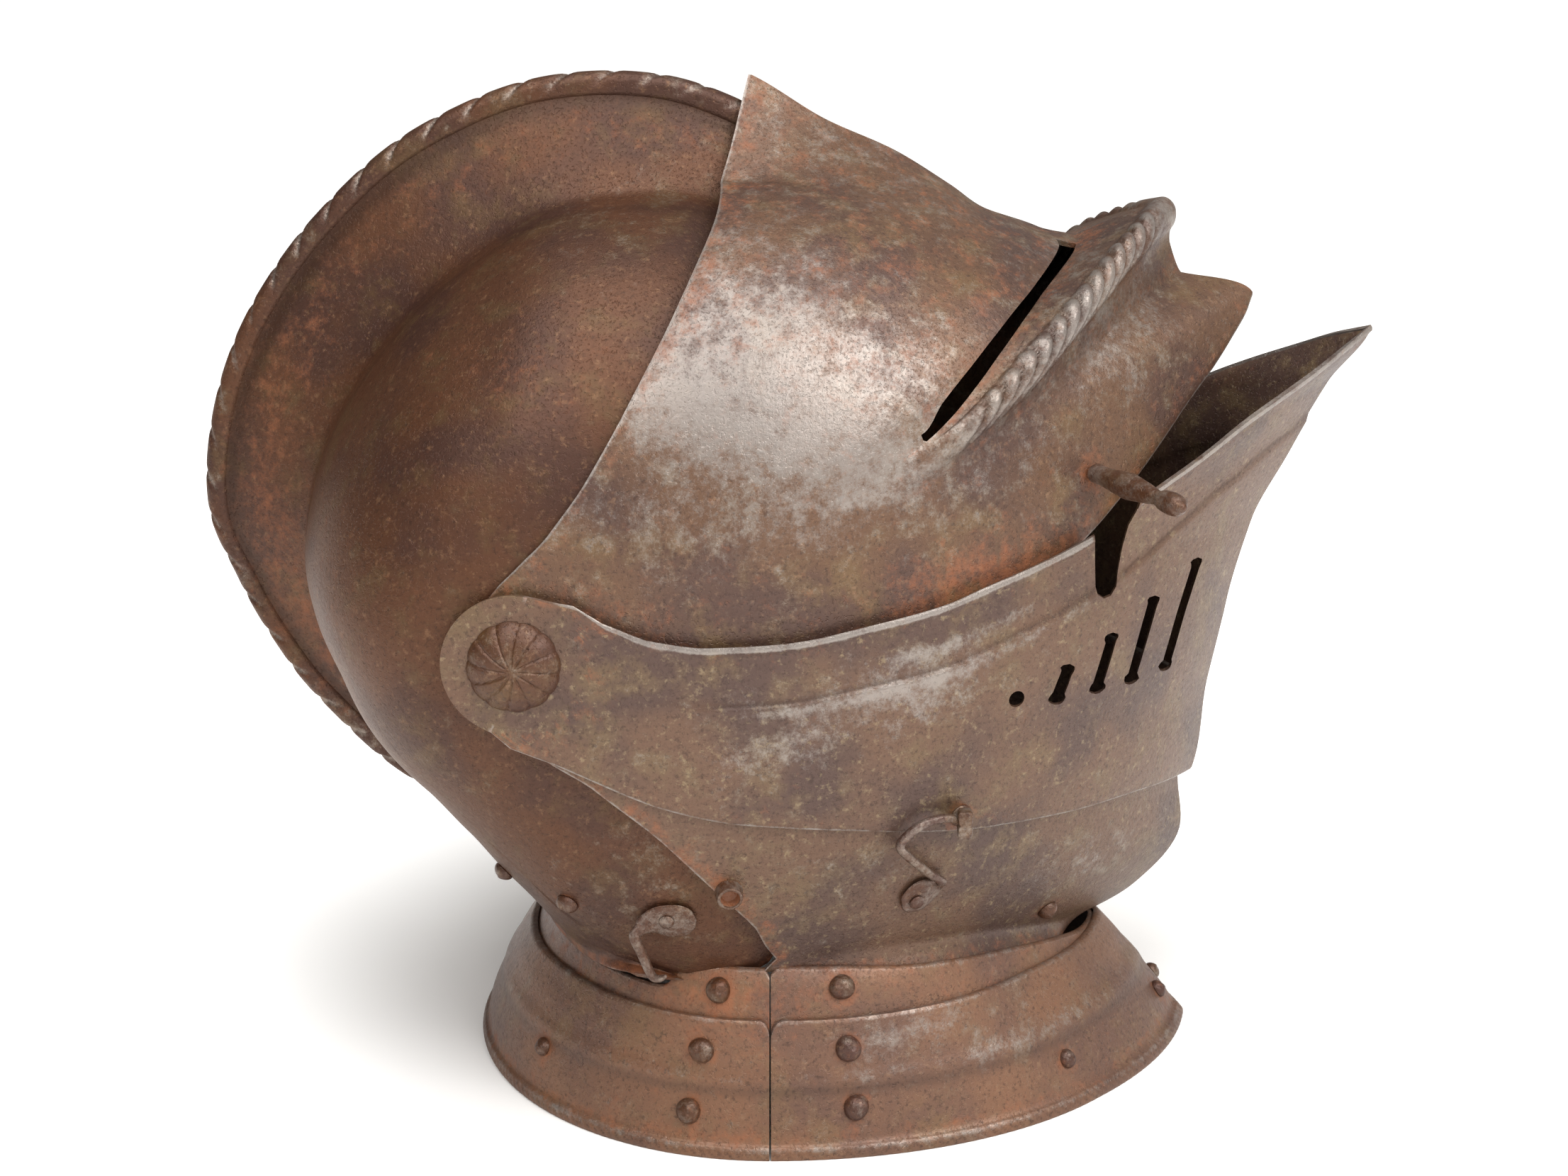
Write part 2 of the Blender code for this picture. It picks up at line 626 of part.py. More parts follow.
def lame_point(height, turn, inset):
    """Point of the gorget: turn is 0 at the front, 90 at the left seam and 180 at the back."""
    half_width = blend(GORGET, "height", "half_width", height) - inset
    a = math.radians(turn)
    y = half_width * math.sin(a)
    if math.cos(a) >= 0:
        front = blend(GORGET, "height", "front", height) - inset * 1.25
        prow = blend(GORGET, "height", "prow", height)
        x = SEAM_X + (front - SEAM_X) * math.cos(a) + prow * max(0.0, 1 - abs(y) / 60) ** 1.3
    else:
        back = blend(GORGET, "height", "back", height) + inset * 1.25
        x = SEAM_X + (SEAM_X - back) * math.cos(a)
    return Vector((x, y, height))


def make_lame(name, turns, top, bottom, inset, levels, rimmed, finish):
    """Closed plate swept round part of the gorget; top and bottom are functions of the turn."""
    rings = []
    for turn in turns:
        low, high = bottom(turn), top(turn)
        heights = [low + (high - low) * share for share in levels]
        outer = [lame_point(z, turn, inset) for z in heights]
        inner = [lame_point(z, turn, inset + WALL * 1.1) for z in heights]
        if rimmed:
            outer = [lame_point(0, turn, inset - 0.4), lame_point(RIM_HEIGHT, turn, inset - 1.4)] + [
                lame_point(RIM_HEIGHT + 1, turn, inset)
            ] + outer[1:]
            inner = [lame_point(0, turn, inset + 3.0), lame_point(RIM_HEIGHT, turn, inset + 3.0)] + [
                lame_point(RIM_HEIGHT + 1, turn, inset + WALL * 1.1)
            ] + inner[1:]
        rings.append(outer + inner[::-1])
    quads = []
    for a, b in zip(rings, rings[1:]):
        for i in range(len(a)):
            j = (i + 1) % len(a)
            quads.append((a[i], b[i], b[j], a[j]))
    half = len(rings[0]) // 2
    for ring, flip in ((rings[0], False), (rings[-1], True)):
        for i in range(half - 1):
            quad = (ring[i], ring[i + 1], ring[-2 - i], ring[-1 - i])
            quads.append(quad[::-1] if flip else quad)
    return new_object(name, surface_mesh(name, quads), finish)


def make_gorget(finish):
    gap = math.degrees(SEAM_GAP / 2 / 100)
    front = spread_rows(-90 + gap, 90 - gap, 14)
    rear = spread_rows(90 + gap, 270 - gap, 14)
    inset = WALL * 1.1 + LAME_GAP
    lower_levels = (0, 0.34, 0.62, 1)
    upper_levels = (0, 0.5, 1)

    def top_of(rows):
        return lambda turn: blend(rows, "advance", "height", abs(math.cos(math.radians(turn))))

    front_top, rear_top = top_of(FRONT_UPPER_TOP), top_of(REAR_UPPER_TOP)
    lower_top = top_of(FRONT_LOWER_TOP)

    return [
        make_lame("front_lower_lame", front, lower_top, lambda t: 0.0, 0.0, lower_levels, True, finish),
        make_lame("rear_lower_lame", rear, lower_top, lambda t: 0.0, 0.0, lower_levels, True, finish),
        make_lame("front_upper_lame", front, front_top, lambda t: 29.0, inset, upper_levels, False, finish),
        make_lame("rear_upper_lame", rear, rear_top, lambda t: 28.0, inset, upper_levels, False, finish),
    ]


def turned(name, profile, sides, place, axis, finish, scallop=0.0):
    """Solid of revolution: profile of (radius, height along axis), from the outer end inwards."""
    z = axis.normalized()
    x = Vector((0, 0, 1)).cross(z)
    x = x.normalized() if x.length > 0.01 else Vector((1, 0, 0))
    y = z.cross(x)
    rings = []
    for radius, height in profile:
        ring = []
        for i in range(sides):
            a = 2 * math.pi * i / sides
            r = radius * (1 - scallop * (i % 2)) if height > 0 else radius
            ring.append(place + x * r * math.cos(a) + y * r * math.sin(a) + z * height)
        rings.append(ring if radius > 0 else [place + z * height])
    quads = []
    for a, b in zip(rings, rings[1:]):
        for i in range(sides):
            j = (i + 1) % sides
            if len(a) == 1:
                quads.append((a[0], b[i], b[j]))
            elif len(b) == 1:
                quads.append((a[i], b[0], a[j]))
            else:
                quads.append((a[i], b[i], b[j], a[j]))
    return new_object(name, surface_mesh(name, quads, place), finish, place)


def drill(obj, place, axis, radius, depth=12.0, sides=8):
    profile = [(0, depth / 2), (radius, depth / 2), (radius, -depth / 2), (0, -depth / 2)]
    tool = turned("drill", profile, sides, place, axis, None)
    tool.hide_render = True
    tool.display_type = "WIRE"
    cut(obj, tool)


def rivet(name, place, axis, grip, plates, finish):
    """Dome-headed rivet through the plates; grip is the thickness that it clamps."""
    foot = -grip - BURR_GAP
    profile = [
        (0, 2.6 + CLEARANCE), (1.9, 2.1 + CLEARANCE), (RIVET_HEAD, CLEARANCE), (RIVET_SHANK, CLEARANCE),
        (RIVET_SHANK, foot), (2.4, foot), (0, foot - 0.8),
    ]
    made = turned(name, profile, 6, place, axis, finish)
    for one in plates:
        drill(one, place, axis, RIVET_SHANK + CLEARANCE)
    return made


def mirrored(place):
    return Vector((place.x, -place.y, place.z))


def swept_bar(name, rows, facings, finish, origin, sides=8):
    """Bar through the rows' centres; each row's thickness lies along its facing."""
    centres = [Vector((row.x, row.y, row.z)) for row in rows]
    rings = []
    for i, row in enumerate(rows):
        ahead = centres[min(i + 1, len(rows) - 1)] - centres[max(i - 1, 0)]
        across = ahead.cross(facings[i]).normalized()
        face = across.cross(ahead).normalized()
        ring = []
        for k in range(sides):
            a = 2 * math.pi * (k + 0.5) / sides
            flat, deep = row.width / 2 * math.cos(a), row.thickness / 2 * math.sin(a)
            ring.append(centres[i] + across * flat + face * deep)
        rings.append(ring)
    quads = []
    for a, b in zip(rings, rings[1:]):
        for k in range(sides):
            j = (k + 1) % sides
            quads.append((a[k], a[j], b[j], b[k]))
    quads.append(tuple(reversed(rings[0])))
    quads.append(tuple(rings[-1]))
    made = new_object(name, surface_mesh(name, quads, origin), finish, origin)
    bm = bmesh.new()
    bm.from_mesh(made.data)
    bmesh.ops.recalc_face_normals(bm, faces=bm.faces)
    bm.to_mesh(made.data)
    bm.free()
    return made


def make_hook(name, rows, form, base, grip, host, finish):
    """Hook that lies on a plate and turns on its own rivet."""
    placed, facings = [], []
    for row in rows:
        place, out = form.seat(row.x, row.z, row.lift)
        placed.append(Bar(place.x, place.y, place.z, row.width, row.thickness))
        facings.append(out)
    place, out = form.seat(base.x, base.z)
    top = place + out * 2.1
    hook = swept_bar(name, placed, facings, finish, top)
    drill(hook, top, out, RIVET_SHANK + CLEARANCE, 6.0)
    drill(host, place, out, RIVET_SHANK + CLEARANCE, 10.0)
    foot = -grip - BURR_GAP - 2.1
    profile = [
        (0, 1.2), (1.4, 0.95), (2.3, CLEARANCE), (RIVET_SHANK, CLEARANCE),
        (RIVET_SHANK, foot), (2.4, foot), (0, foot - 0.8),
    ]
    pin = turned(name + "_rivet", profile, 6, top, out, finish)
    ride(hook, host)
    ride(pin, host)


def lame_rivet(row, name_end, side, plates, finish):
    """One rivet of the gorget, at a distance forward and a height."""
    low, high = (-90.0, 0.0) if row.x > SEAM_X else (-180.0, -90.0)
    inset = WALL * 1.1 + LAME_GAP if row.z > 41 else 0.0
    for _ in range(40):
        turn = (low + high) / 2
        ahead = lame_point(row.z, turn, inset).x < row.x
        low, high = (turn, high) if ahead else (low, turn)
    place = lame_point(row.z, turn, inset)
    rise = lame_point(row.z + 1, turn, inset) - lame_point(row.z - 1, turn, inset)
    run = lame_point(row.z, turn + 0.5, inset) - lame_point(row.z, turn - 0.5, inset)
    out = run.cross(rise).normalized()
    if side > 0:
        place, out = mirrored(place), mirrored(out)
    grip = WALL * 1.1 if row.layers == 1 else WALL * 2.2 + LAME_GAP
    return rivet(row.name + name_end, place, out, grip, plates, finish)


def plate_rivet(name, form, spot, side, host, finish):
    place, out = form.seat(spot.x, spot.z)
    if side > 0:
        place, out = mirrored(place), mirrored(out)
    return rivet(name, place, out, 2 * WALL if form is SKULL else WALL, [host], finish)


def prism(name, outline, near, far):
    """Cutter through a plate's side: outline of (x, z) points, from one y to another."""
    area = sum(a[0] * b[1] - b[0] * a[1] for a, b in zip(outline, outline[1:] + outline[:1]))
    loop = outline if area > 0 else outline[::-1]
    front = [Vector((x, near, z)) for x, z in loop]
    back = [Vector((x, far, z)) for x, z in loop]
    if near > far:
        front, back = back, front
    quads = [tuple(front), tuple(reversed(back))]
    for i in range(len(loop)):
        j = (i + 1) % len(loop)
        quads.append((front[j], front[i], back[i], back[j]))
    return cutter(surface_mesh(name, quads))


def cut_breaths(bevor, side):
    near, far = side * 12.0, side * 98.0
    for slot in BREATHS:
        top = Vector((slot.top_x, 0, slot.top_z))
        foot = Vector((slot.foot_x, 0, slot.foot_z))
        along = (top - foot).normalized()
        across = Vector((along.z, 0, -along.x))
        length = (top - foot).length
        profile = [
            (-0.4, 0.6), (0.7, 1.3), (1.9, 1.3), (3.2, 0.9), (length - 2.8, 0.9), (length - 1.2, 1.15),
            (length + 0.2, 0.5),
        ]
        right = [foot + along * d + across * w * slot.half for d, w in profile]
        left = [foot + along * d - across * w * slot.half for d, w in reversed(profile)]
        cut(bevor, prism("breath", [(p.x, p.z) for p in right + left], near, far))
    ring = []
    for i in range(8):
        a = math.pi * (i + 0.5) / 4
        ring.append((BREATH_HOLE.x + 2.4 * math.cos(a), BREATH_HOLE.z + 2.5 * math.sin(a)))
    cut(bevor, prism("breath", ring, near, far))


def cut_notch(bevor):
    outline = []
    for corner in NOTCH:
        a = math.radians(corner.angle)
        outline.append((PIVOT_X + corner.radius * math.cos(a), PIVOT_Z + corner.radius * math.sin(a)))
    cut(bevor, prism("notch", outline, -20.0, -98.0))


def make_rosette(name, side, finish):
    """Pivot rivet with a petalled head, through skull, bevors and visor."""
    inner = UPPER.half_width - SKULL.half_width + WALL + CLEARANCE
    profile = [
        (0, 5.6), (4.6, 4.2), (ROSETTE_RADIUS - 1.2, 1.9), (ROSETTE_RADIUS, CLEARANCE),
        (PIVOT_HOLE - 0.4, CLEARANCE), (PIVOT_HOLE - 0.4, -inner), (7.0, -inner), (0, -inner - 2.0),
    ]
    place = Vector((PIVOT_X, side * UPPER.half_width, PIVOT_Z))
    return turned(name, profile, 2 * PETALS, place, Vector((0, side, 0)), finish, 0.07)


def make_upper_stud(bevor, finish):
    """Square post that stands out of the upper bevor; the hook's end comes up to its eye."""
    place, out = UPPER.seat(UPPER_STUD.x, UPPER_STUD.z)
    profile = [
        (0, 9.6), (2.5, 9.6), (2.5, 4.0), (1.7, 2.6), (1.7, 1.8), (3.4, 1.4),
        (3.4, 0.6), (RIVET_SHANK, 0.6), (RIVET_SHANK, -WALL + 0.3), (0, -WALL + 0.1),
    ]
    stud = turned("bevor_stud", profile, 4, place, out, finish)
    drill(bevor, place, out, RIVET_SHANK + CLEARANCE, 8.0)
    eye = place + out * 6.6
    drill(stud, eye, Vector((0.95, 0.1, 0.05)).normalized(), 1.3, 12.0, 6)
    return stud


def make_lower_stud(bevor, finish):
    """Round post with a blind eye in its end, on the lower bevor."""
    place, out = LOWER.seat(LOWER_STUD.x, LOWER_STUD.z)
    profile = [
        (0, 3.0), (2.2, 3.6), (2.2, 6.4), (3.3, 7.0), (4.1, 6.0), (4.1, 2.0), (4.4, CLEARANCE),
        (RIVET_SHANK, CLEARANCE), (RIVET_SHANK, -WALL + 0.2), (0, -WALL),
    ]
    stud = turned("skull_stud", profile, 12, place, out, finish)
    drill(bevor, place, out, RIVET_SHANK + CLEARANCE, 8.0)
    return stud


def make_peg(visor, finish):
    """Baluster peg with a tenon through the visor."""
    place, out = VISOR.seat(PEG[0].x, PEG[0].z)
    inner, outer = place - out * (WALL + 1.0), place + out * 0.7
    tenon = 2 * RIVET_SHANK
    rows = [Bar(inner.x, inner.y, inner.z, tenon, tenon), Bar(outer.x, outer.y, outer.z, tenon, tenon)]
    rows += [Bar(row.x, row.y, row.z, row.width, row.thickness) for row in PEG[1:]]
    drill(visor, place, out, RIVET_SHANK + CLEARANCE, 8.0)
    return swept_bar("lifting_peg", rows, [Vector((0, 0, 1))] * len(rows), finish, place)


def build():
    for obj in list(bpy.data.objects):
        bpy.data.objects.remove(obj)
    skull = make_skull(RUSTED)
    visor = make_visor(RUSTED)
    upper = make_upper_bevor(RUSTED)
    lower = make_lower_bevor(RUSTED)
    front_lower, rear_lower, front_upper, rear_upper = make_gorget(RUSTED)
    cut_notch(upper)
    cut_breaths(upper, -1)
    for side, end in ((-1, "_right"), (1, "_left")):
        make_rosette("rosette_rivet" + end, side, RUBBED)
        for row in REAR_RIVETS:
            plates = [rear_upper] if row.z > 41 else [rear_lower, rear_upper][: row.layers]
            ride(lame_rivet(row, end, side, plates, RUSTED), skull)
        for row in FRONT_RIVETS:
            plates = [front_upper] if row.z > 41 else [front_lower, front_upper][: row.layers]
            ride(lame_rivet(row, end, side, plates, RUSTED), lower)
        ride(plate_rivet("lining_rivet" + end, SKULL, LINING_RIVET, side, skull, RUSTED), skull)
        ride(plate_rivet("nape_rivet" + end, SKULL, NAPE_RIVET, side, skull, RUSTED), skull)
        ride(plate_rivet("bevor_rivet" + end, LOWER, BEVOR_RIVET, side, lower, RUSTED), lower)
    ride(make_peg(visor, RUBBED), visor)
    ride(make_upper_stud(upper, RUBBED), upper)
    ride(make_lower_stud(lower, RUBBED), lower)
    make_hook("bevor_hook", BEVOR_HOOK, LOWER, BEVOR_HOOK_RIVET, WALL, lower, RUBBED)
    make_hook("skull_hook", SKULL_HOOK, SKULL, SKULL_HOOK_RIVET, 2 * WALL, skull, RUBBED)
    for plate_piece, carrier in (
        (rear_lower, skull), (rear_upper, skull), (front_lower, lower), (front_upper, lower),
        (lower, skull), (upper, lower), (visor, upper),
    ):
        ride(plate_piece, carrier)


build()
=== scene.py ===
"""Close helmet with a high roped comb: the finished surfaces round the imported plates.

Each large plate is raised from a flat pattern: a grid whose columns run from one pivot to the other over
the keel, and whose rows run from the plate's lower edge to its upper one. Lengths are in millimetres
until a mesh is written, in the row frame: +X forward, +Y to the wearer's left, +Z up.
"""

import logging
import math
from collections.abc import Callable, Sequence
from dataclasses import dataclass
from enum import Enum

import bpy
import numpy as np
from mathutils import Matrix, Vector

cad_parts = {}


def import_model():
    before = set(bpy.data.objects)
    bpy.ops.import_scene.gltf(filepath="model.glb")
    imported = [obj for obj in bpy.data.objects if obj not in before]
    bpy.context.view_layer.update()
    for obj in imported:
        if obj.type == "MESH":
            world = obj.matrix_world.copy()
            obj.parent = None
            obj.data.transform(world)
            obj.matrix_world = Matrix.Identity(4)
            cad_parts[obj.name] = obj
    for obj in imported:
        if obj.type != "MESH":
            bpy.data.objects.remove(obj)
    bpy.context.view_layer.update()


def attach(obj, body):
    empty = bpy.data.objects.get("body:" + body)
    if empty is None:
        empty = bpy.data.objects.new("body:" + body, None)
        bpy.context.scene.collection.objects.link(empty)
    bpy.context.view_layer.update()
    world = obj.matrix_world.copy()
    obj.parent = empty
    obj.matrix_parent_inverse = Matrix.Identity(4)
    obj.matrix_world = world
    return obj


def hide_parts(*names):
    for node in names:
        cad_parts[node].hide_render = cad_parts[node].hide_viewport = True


LOG = logging.getLogger("close_helmet")
Array = np.ndarray
Rows = Sequence[tuple[float, ...]]
MM = 0.001
PIVOT_X, PIVOT_Z = -75.18, 157.0
SEAM_X = -4.18
WALL = 1.5
LAME_WALL = WALL * 1.1
UPPER_INSET = LAME_WALL + 0.4
UPPER_LAMES_FROM = 41.0
PIVOT_HOLE = 4.6
BOWL_POWER = 2.2
COMB_EDGE_RADIUS = 4.0
CLOSE_ROWS = (0, 0.35, 0.9)


class Body(Enum):
    """Rigid bodies that the pieces ride on."""

    SKULL = "skull"
    LOWER_BEVOR = "lower_bevor"
    UPPER_BEVOR = "upper_bevor"
    VISOR = "visor"
    SKULL_HOOK = "skull_hook"
    BEVOR_HOOK = "bevor_hook"


class Mask(Enum):
    """Point attributes that tell a finish where the surface is bare metal or painted highlight, where it is
    rusted, and where painted shade darkens it.
    """

    # Bare metal from wear, and in places a painted highlight.
    WORN_AND_HIGHLIT = "worn"
    RUST = "rust"
    # Painted shade in grooves, notches, creases and undercuts.
    PAINTED_SHADE = "painted_shade"


# --------------------------------------------------------------------------------------------- curves


def blended(rows: Rows, at: Array) -> Array:
    """Smooth curve through rows that never overshoots them.

    Args:
        rows: (key, value) pairs in order of key.
        at: Keys to read.

    Returns:
        The value at each key, held flat beyond the first and last row.
    """
    keys = np.array([row[0] for row in rows], float)
    values = np.array([row[1] for row in rows], float)
    spans = np.diff(keys)
    slopes = np.diff(values) / spans
    before, after = slopes[:-1], slopes[1:]
    same = before * after > 0
    inner = np.where(same, 2 * before * after / np.where(same, before + after, 1.0), 0.0)
    tangents = np.concatenate([slopes[:1], inner, slopes[-1:]])
    at = np.asarray(at, float)
    i = np.clip(np.searchsorted(keys, at, side="right") - 1, 0, len(spans) - 1)
    t = np.clip((at - keys[i]) / spans[i], 0.0, 1.0)
    bend = spans[i] * t * (1 - t) * ((1 - t) * tangents[i] - t * tangents[i + 1])
    return values[i] + (values[i + 1] - values[i]) * t * t * (3 - 2 * t) + bend


def column(rows: Rows, index: int, at: Array) -> Array:
    """One column of a table at each key; its first column holds the keys."""
    return blended([(row[0], row[index]) for row in rows], at)


def smooth(low: float, high: float, at: Array) -> Array:
    """Rises from 0 at low to 1 at high with level ends."""
    t = np.clip((np.asarray(at, float) - low) / (high - low), 0.0, 1.0)
    return t * t * (3 - 2 * t)


def bump(centre: float, width: float, at: Array) -> Array:
    """Bell of height 1 round a centre."""
    return np.exp(-(((np.asarray(at, float) - centre) / width) ** 2))


def unit(rows: Array) -> Array:
    """Rows scaled to length 1."""
    return rows / np.maximum(1e-9, np.linalg.norm(rows, axis=1))[:, None]


def round_pivot(reach: Array, angle: Array, y: Array) -> Array:
    """Places at a reach from the pivot axis and an angle in degrees up from straight ahead."""
    a = np.radians(angle)
    return np.stack([PIVOT_X + reach * np.cos(a), y, PIVOT_Z + reach * np.sin(a)], axis=-1)


@dataclass(frozen=True)
class Form:
    """Outer surface of a plate that turns on the pivots.

    Each section holds the angle up from straight ahead, the reach of the bowl from the pivot axis, the
    height of the keel above it, half the width of the keel's foot and the power of its flank. Girth is 0
    on the keel and 1 at the pivot disc, and negative on the right side.
    """

    half_width: float
    disc: float
    sections: tuple[tuple[float, float, float, float, float], ...]
    edge_radius: float = 0.0
    fillet: float = 0.0

    def girth_at(self, y: float) -> float:
        """Girth of a half width."""
        return math.degrees(math.asin(min(1.0, abs(y) / self.half_width) ** (BOWL_POWER / 2))) / 90

    def side(self, girth: Array) -> Array:
        """Distance from the middle of the head."""
        turn = np.radians(90 * np.minimum(1.0, np.abs(girth)))
        return self.half_width * np.sin(turn) ** (2 / BOWL_POWER)

    def keel(self, angle: Array) -> Array:
        """Height of the keel over the bowl."""
        return column(self.sections, 2, angle)

    def bowl(self, angle: Array, girth: Array) -> Array:
        """Reach of the bowl under its keel."""
        turn = np.radians(90 * np.minimum(1.0, np.abs(girth)))
        narrowing = np.maximum(0.0, np.cos(turn)) ** (2 / BOWL_POWER)
        return self.disc + (column(self.sections, 1, angle) - self.disc) * narrowing

    def reach(self, angle: Array, girth: Array, drop: Array | float = 0.0) -> Array:
        """Distance from the pivot axis.

        Args:
            angle: Degrees up from straight ahead.
            girth: Girth of each point.
            drop: Share of the step down the side of a comb's edge.

        Returns:
            The reach of each point.
        """
        y, bowl, keel = self.side(girth), self.bowl(angle, girth), self.keel(angle)
        spread, power = column(self.sections, 3, angle), column(self.sections, 4, angle)
        edge = np.minimum(self.edge_radius, keel / 3)
        crest = bowl + keel - edge + np.sqrt(np.maximum(0.0, edge * edge - y * y)) - drop * edge
        foot = 1 - (y - edge) / (spread - edge)
        share = np.clip(0.5 * (foot + np.sqrt(foot * foot + self.fillet**2)), 0.0, 1.0)
        flank = bowl + (keel - 2 * edge) * share**power
        return np.where(y <= edge + 1e-6, crest, flank)

    def places(
        self, angle: Array, girth: Array, lift: Array | float = 0.0, drop: Array | float = 0.0
    ) -> Array:
        """Points of the surface, in millimetres.

        Args:
            angle: Degrees up from straight ahead.
            girth: Girth of each point.
            lift: Height over the surface along the reach.
            drop: Share of the step down a comb's edge.

        Returns:
            One row of x, y, z for each point.
        """
        return round_pivot(self.reach(angle, girth, drop) + lift, angle, np.sign(girth) * self.side(girth))

    def seat(self, x: float, z: float, side: int = -1) -> tuple[Vector, Vector]:
        """Place on one side at a distance forward and a height, with the outward direction there."""
        angle = math.degrees(math.atan2(z - PIVOT_Z, x - PIVOT_X))
        if angle < self.sections[0][0]:
            angle += 360
        goal = math.hypot(x - PIVOT_X, z - PIVOT_Z)
        low, high = 0.0, 1.0
        for _ in range(40):
            girth = (low + high) / 2
            low, high = (girth, high) if self.reach(np.array(angle), np.array(girth)) > goal else (low, girth)
        steps = np.array([[0, 0], [0, 0.01], [0, -0.01], [1, 0], [-1, 0]], float)
        ring = self.places(angle + steps[:, 0], side * high + steps[:, 1])
        out = np.cross(ring[1] - ring[2], ring[3] - ring[4])
        return Vector(ring[0]), Vector(out).normalized()


SKULL_FORM = Form(
    98.0, 18.0,
    (
        (-4, 165, 0, 18, 1.1), (20, 150, 0, 18, 1.1), (35, 141, 6, 18, 1.1), (48, 137, 20, 18, 1.1),
        (58, 133.6, 26, 18, 1.1), (66, 131.6, 28.4, 18, 1.1), (76, 125.5, 34.3, 18, 1.1),
        (88, 117.3, 37.8, 18, 1.1), (98, 107, 41.7, 18, 1.1), (109, 98.5, 42.7, 18, 1.1),
        (122, 89.5, 42.6, 18, 1.1), (135, 83.5, 41.7, 17, 1.1), (156, 77.5, 38.5, 16, 1.1),
        (170, 75, 35, 15, 1.1), (182, 71.6, 29, 14, 1.1), (200, 67.8, 24.0, 12, 1.1),
        (216, 68.8, 18.5, 10, 1.1), (238, 72.2, 14.4, 9, 1.1), (253, 81.0, 7.6, 8, 1.1),
        (264.7, 96.1, 0, 8, 1.1), (268.9, 103.4, 0, 8, 1.1), (275.3, 119.2, 0, 8, 1.1),
        (283.6, 141, 0, 8, 1.1), (289.5, 157, 0, 8, 1.1), (295.4, 171, 0, 8, 1.1),
        (303.5, 181, 0, 8, 1.1), (320, 180, 0, 8, 1.1), (356, 165, 0, 18, 1.1),
    ),
    COMB_EDGE_RADIUS, 0.15,
)
VISOR_FORM = Form(
    100.0, 18.5,
    (
        (-80, 178, 0, 60, 1.5), (-20, 180, 30, 76, 1.6), (0, 182, 44, 80, 1.6), (12, 183, 52, 80, 1.6),
        (21.7, 184, 54, 76, 1.6), (26, 189, 29, 60, 1.5), (31, 190, 13, 44, 1.4), (35.5, 185, 3, 34, 1.3),
        (40, 177, 1.5, 30, 1.3), (44, 172, 3.4, 28, 1.3), (50, 163, 8.7, 26, 1.3),
        (58.5, 149, 17.5, 24, 1.3), (68, 138, 30, 23, 1.2), (80, 136, 32, 23, 1.2), (118, 136, 32, 23, 1.2),
    ),
)
UPPER_FORM = Form(
    104.0, 20.5,
    (
        (-120, 184, 0, 62, 1.5), (-60, 190, 0, 62, 1.5), (-35, 194, 12, 66, 1.5), (-18, 193, 27.4, 74, 1.6),
        (-10, 190, 26.4, 76, 1.6), (-3, 190, 28.2, 78, 1.6), (4, 190, 35, 80, 1.6),
        (9.4, 190, 49, 82, 1.4), (13.7, 191, 63, 84, 1.0), (16.8, 193, 77.2, 84, 0.92),
        (80, 193, 77.2, 84, 0.92),
    ),
)
LOWER_FORM = Form(
    102.0, 19.5,
    (
        (-120, 180, 0, 62, 1.5), (-60, 182, 0, 62, 1.5), (-52, 184, 2, 62, 1.5), (-45, 187, 5, 62, 1.5),
        (-40, 188.5, 12, 64, 1.5), (-33.8, 190, 24, 66, 1.5), (-29.5, 191, 30.5, 68, 1.5),
        (-24, 190, 35.5, 70, 1.5), (-18.6, 186, 30.5, 74, 1.5), (-10, 184, 28, 74, 1.5),
        (80, 184, 28, 74, 1.5),
    ),
)

# Edges of the plates: (girth, angle).
VISOR_LOWER_EDGE = (
    (0.0, 21.7), (0.015, 20.8), (0.047, 19.7), (0.092, 18.3), (0.131, 17.25), (0.158, 16.45),
    (0.211, 14.55), (0.261, 12.6), (0.3, 11.0), (0.36, 8.5), (0.5, 3.0), (0.7, -8.0), (0.9, -30.0),
    (1.0, -80.0),
)
VISOR_BACK_EDGE = (
    (0.0, 67.4), (0.097, 66.0), (0.339, 64.6), (0.529, 64.7), (0.706, 65.7), (0.824, 67.9),
    (0.914, 74.6), (0.974, 92.0), (1.0, 118.0),
)
UPPER_TOP_EDGE = (
    (0.0, 16.9), (0.026, 16.76), (0.049, 16.62), (0.071, 16.41), (0.111, 15.91), (0.155, 15.35),
    (0.199, 14.64), (0.235, 13.74), (0.266, 12.83), (0.317, 11.34), (0.37, 9.55), (0.423, 8.63),
    (0.478, 7.95), (0.56, 7.0), (0.612, 6.1), (0.716, 5.1), (0.808, 4.0), (0.89, 5.1), (0.943, 10.3),
    (0.979, 25.5), (0.99, 46.0), (1.0, 78.0),
)
UPPER_BOTTOM_EDGE = (
    (0.0, -18.3), (0.175, -19.0), (0.35, -21.1), (0.505, -24.0), (0.66, -28.5), (0.749, -33.4),
    (0.827, -40.8), (0.88, -47.4), (0.934, -56.8), (0.973, -71.9), (1.0, -110.0),
)
LOWER_TOP_EDGE = (
    (0.0, -10.0), (0.4, -10.0), (0.7, -9.0), (0.88, -5.0), (0.94, 0.0), (0.97, 10.0), (1.0, 50.0),
)
LOWER_BACK_EDGE = (
    (0.0, -34.5), (0.133, -36.7), (0.255, -40.8), (0.475, -47.2), (0.565, -53.6), (0.618, -53.2),
    (0.667, -52.1), (0.737, -52.5), (0.826, -53.6), (0.921, -60.4), (0.981, -80.6), (1.0, -105.0),
)
SKULL_FRONT_EDGE = ((0.0, 48.0), (0.36, 42.4), (0.674, 29.5), (0.78, 15.0), (0.83, -4.0), (1.0, -4.0))
SKULL_LOWER_EDGE = (
    (0.0, 270.5), (0.208, 272.3), (0.36, 278.0), (0.487, 284.5), (0.546, 290.0), (0.556, 293.0),
    (0.568, 300.0), (0.575, 305.5), (0.605, 310.0), (0.668, 316.0), (0.764, 325.4), (0.83, 356.0),
    (1.0, 356.0),
)

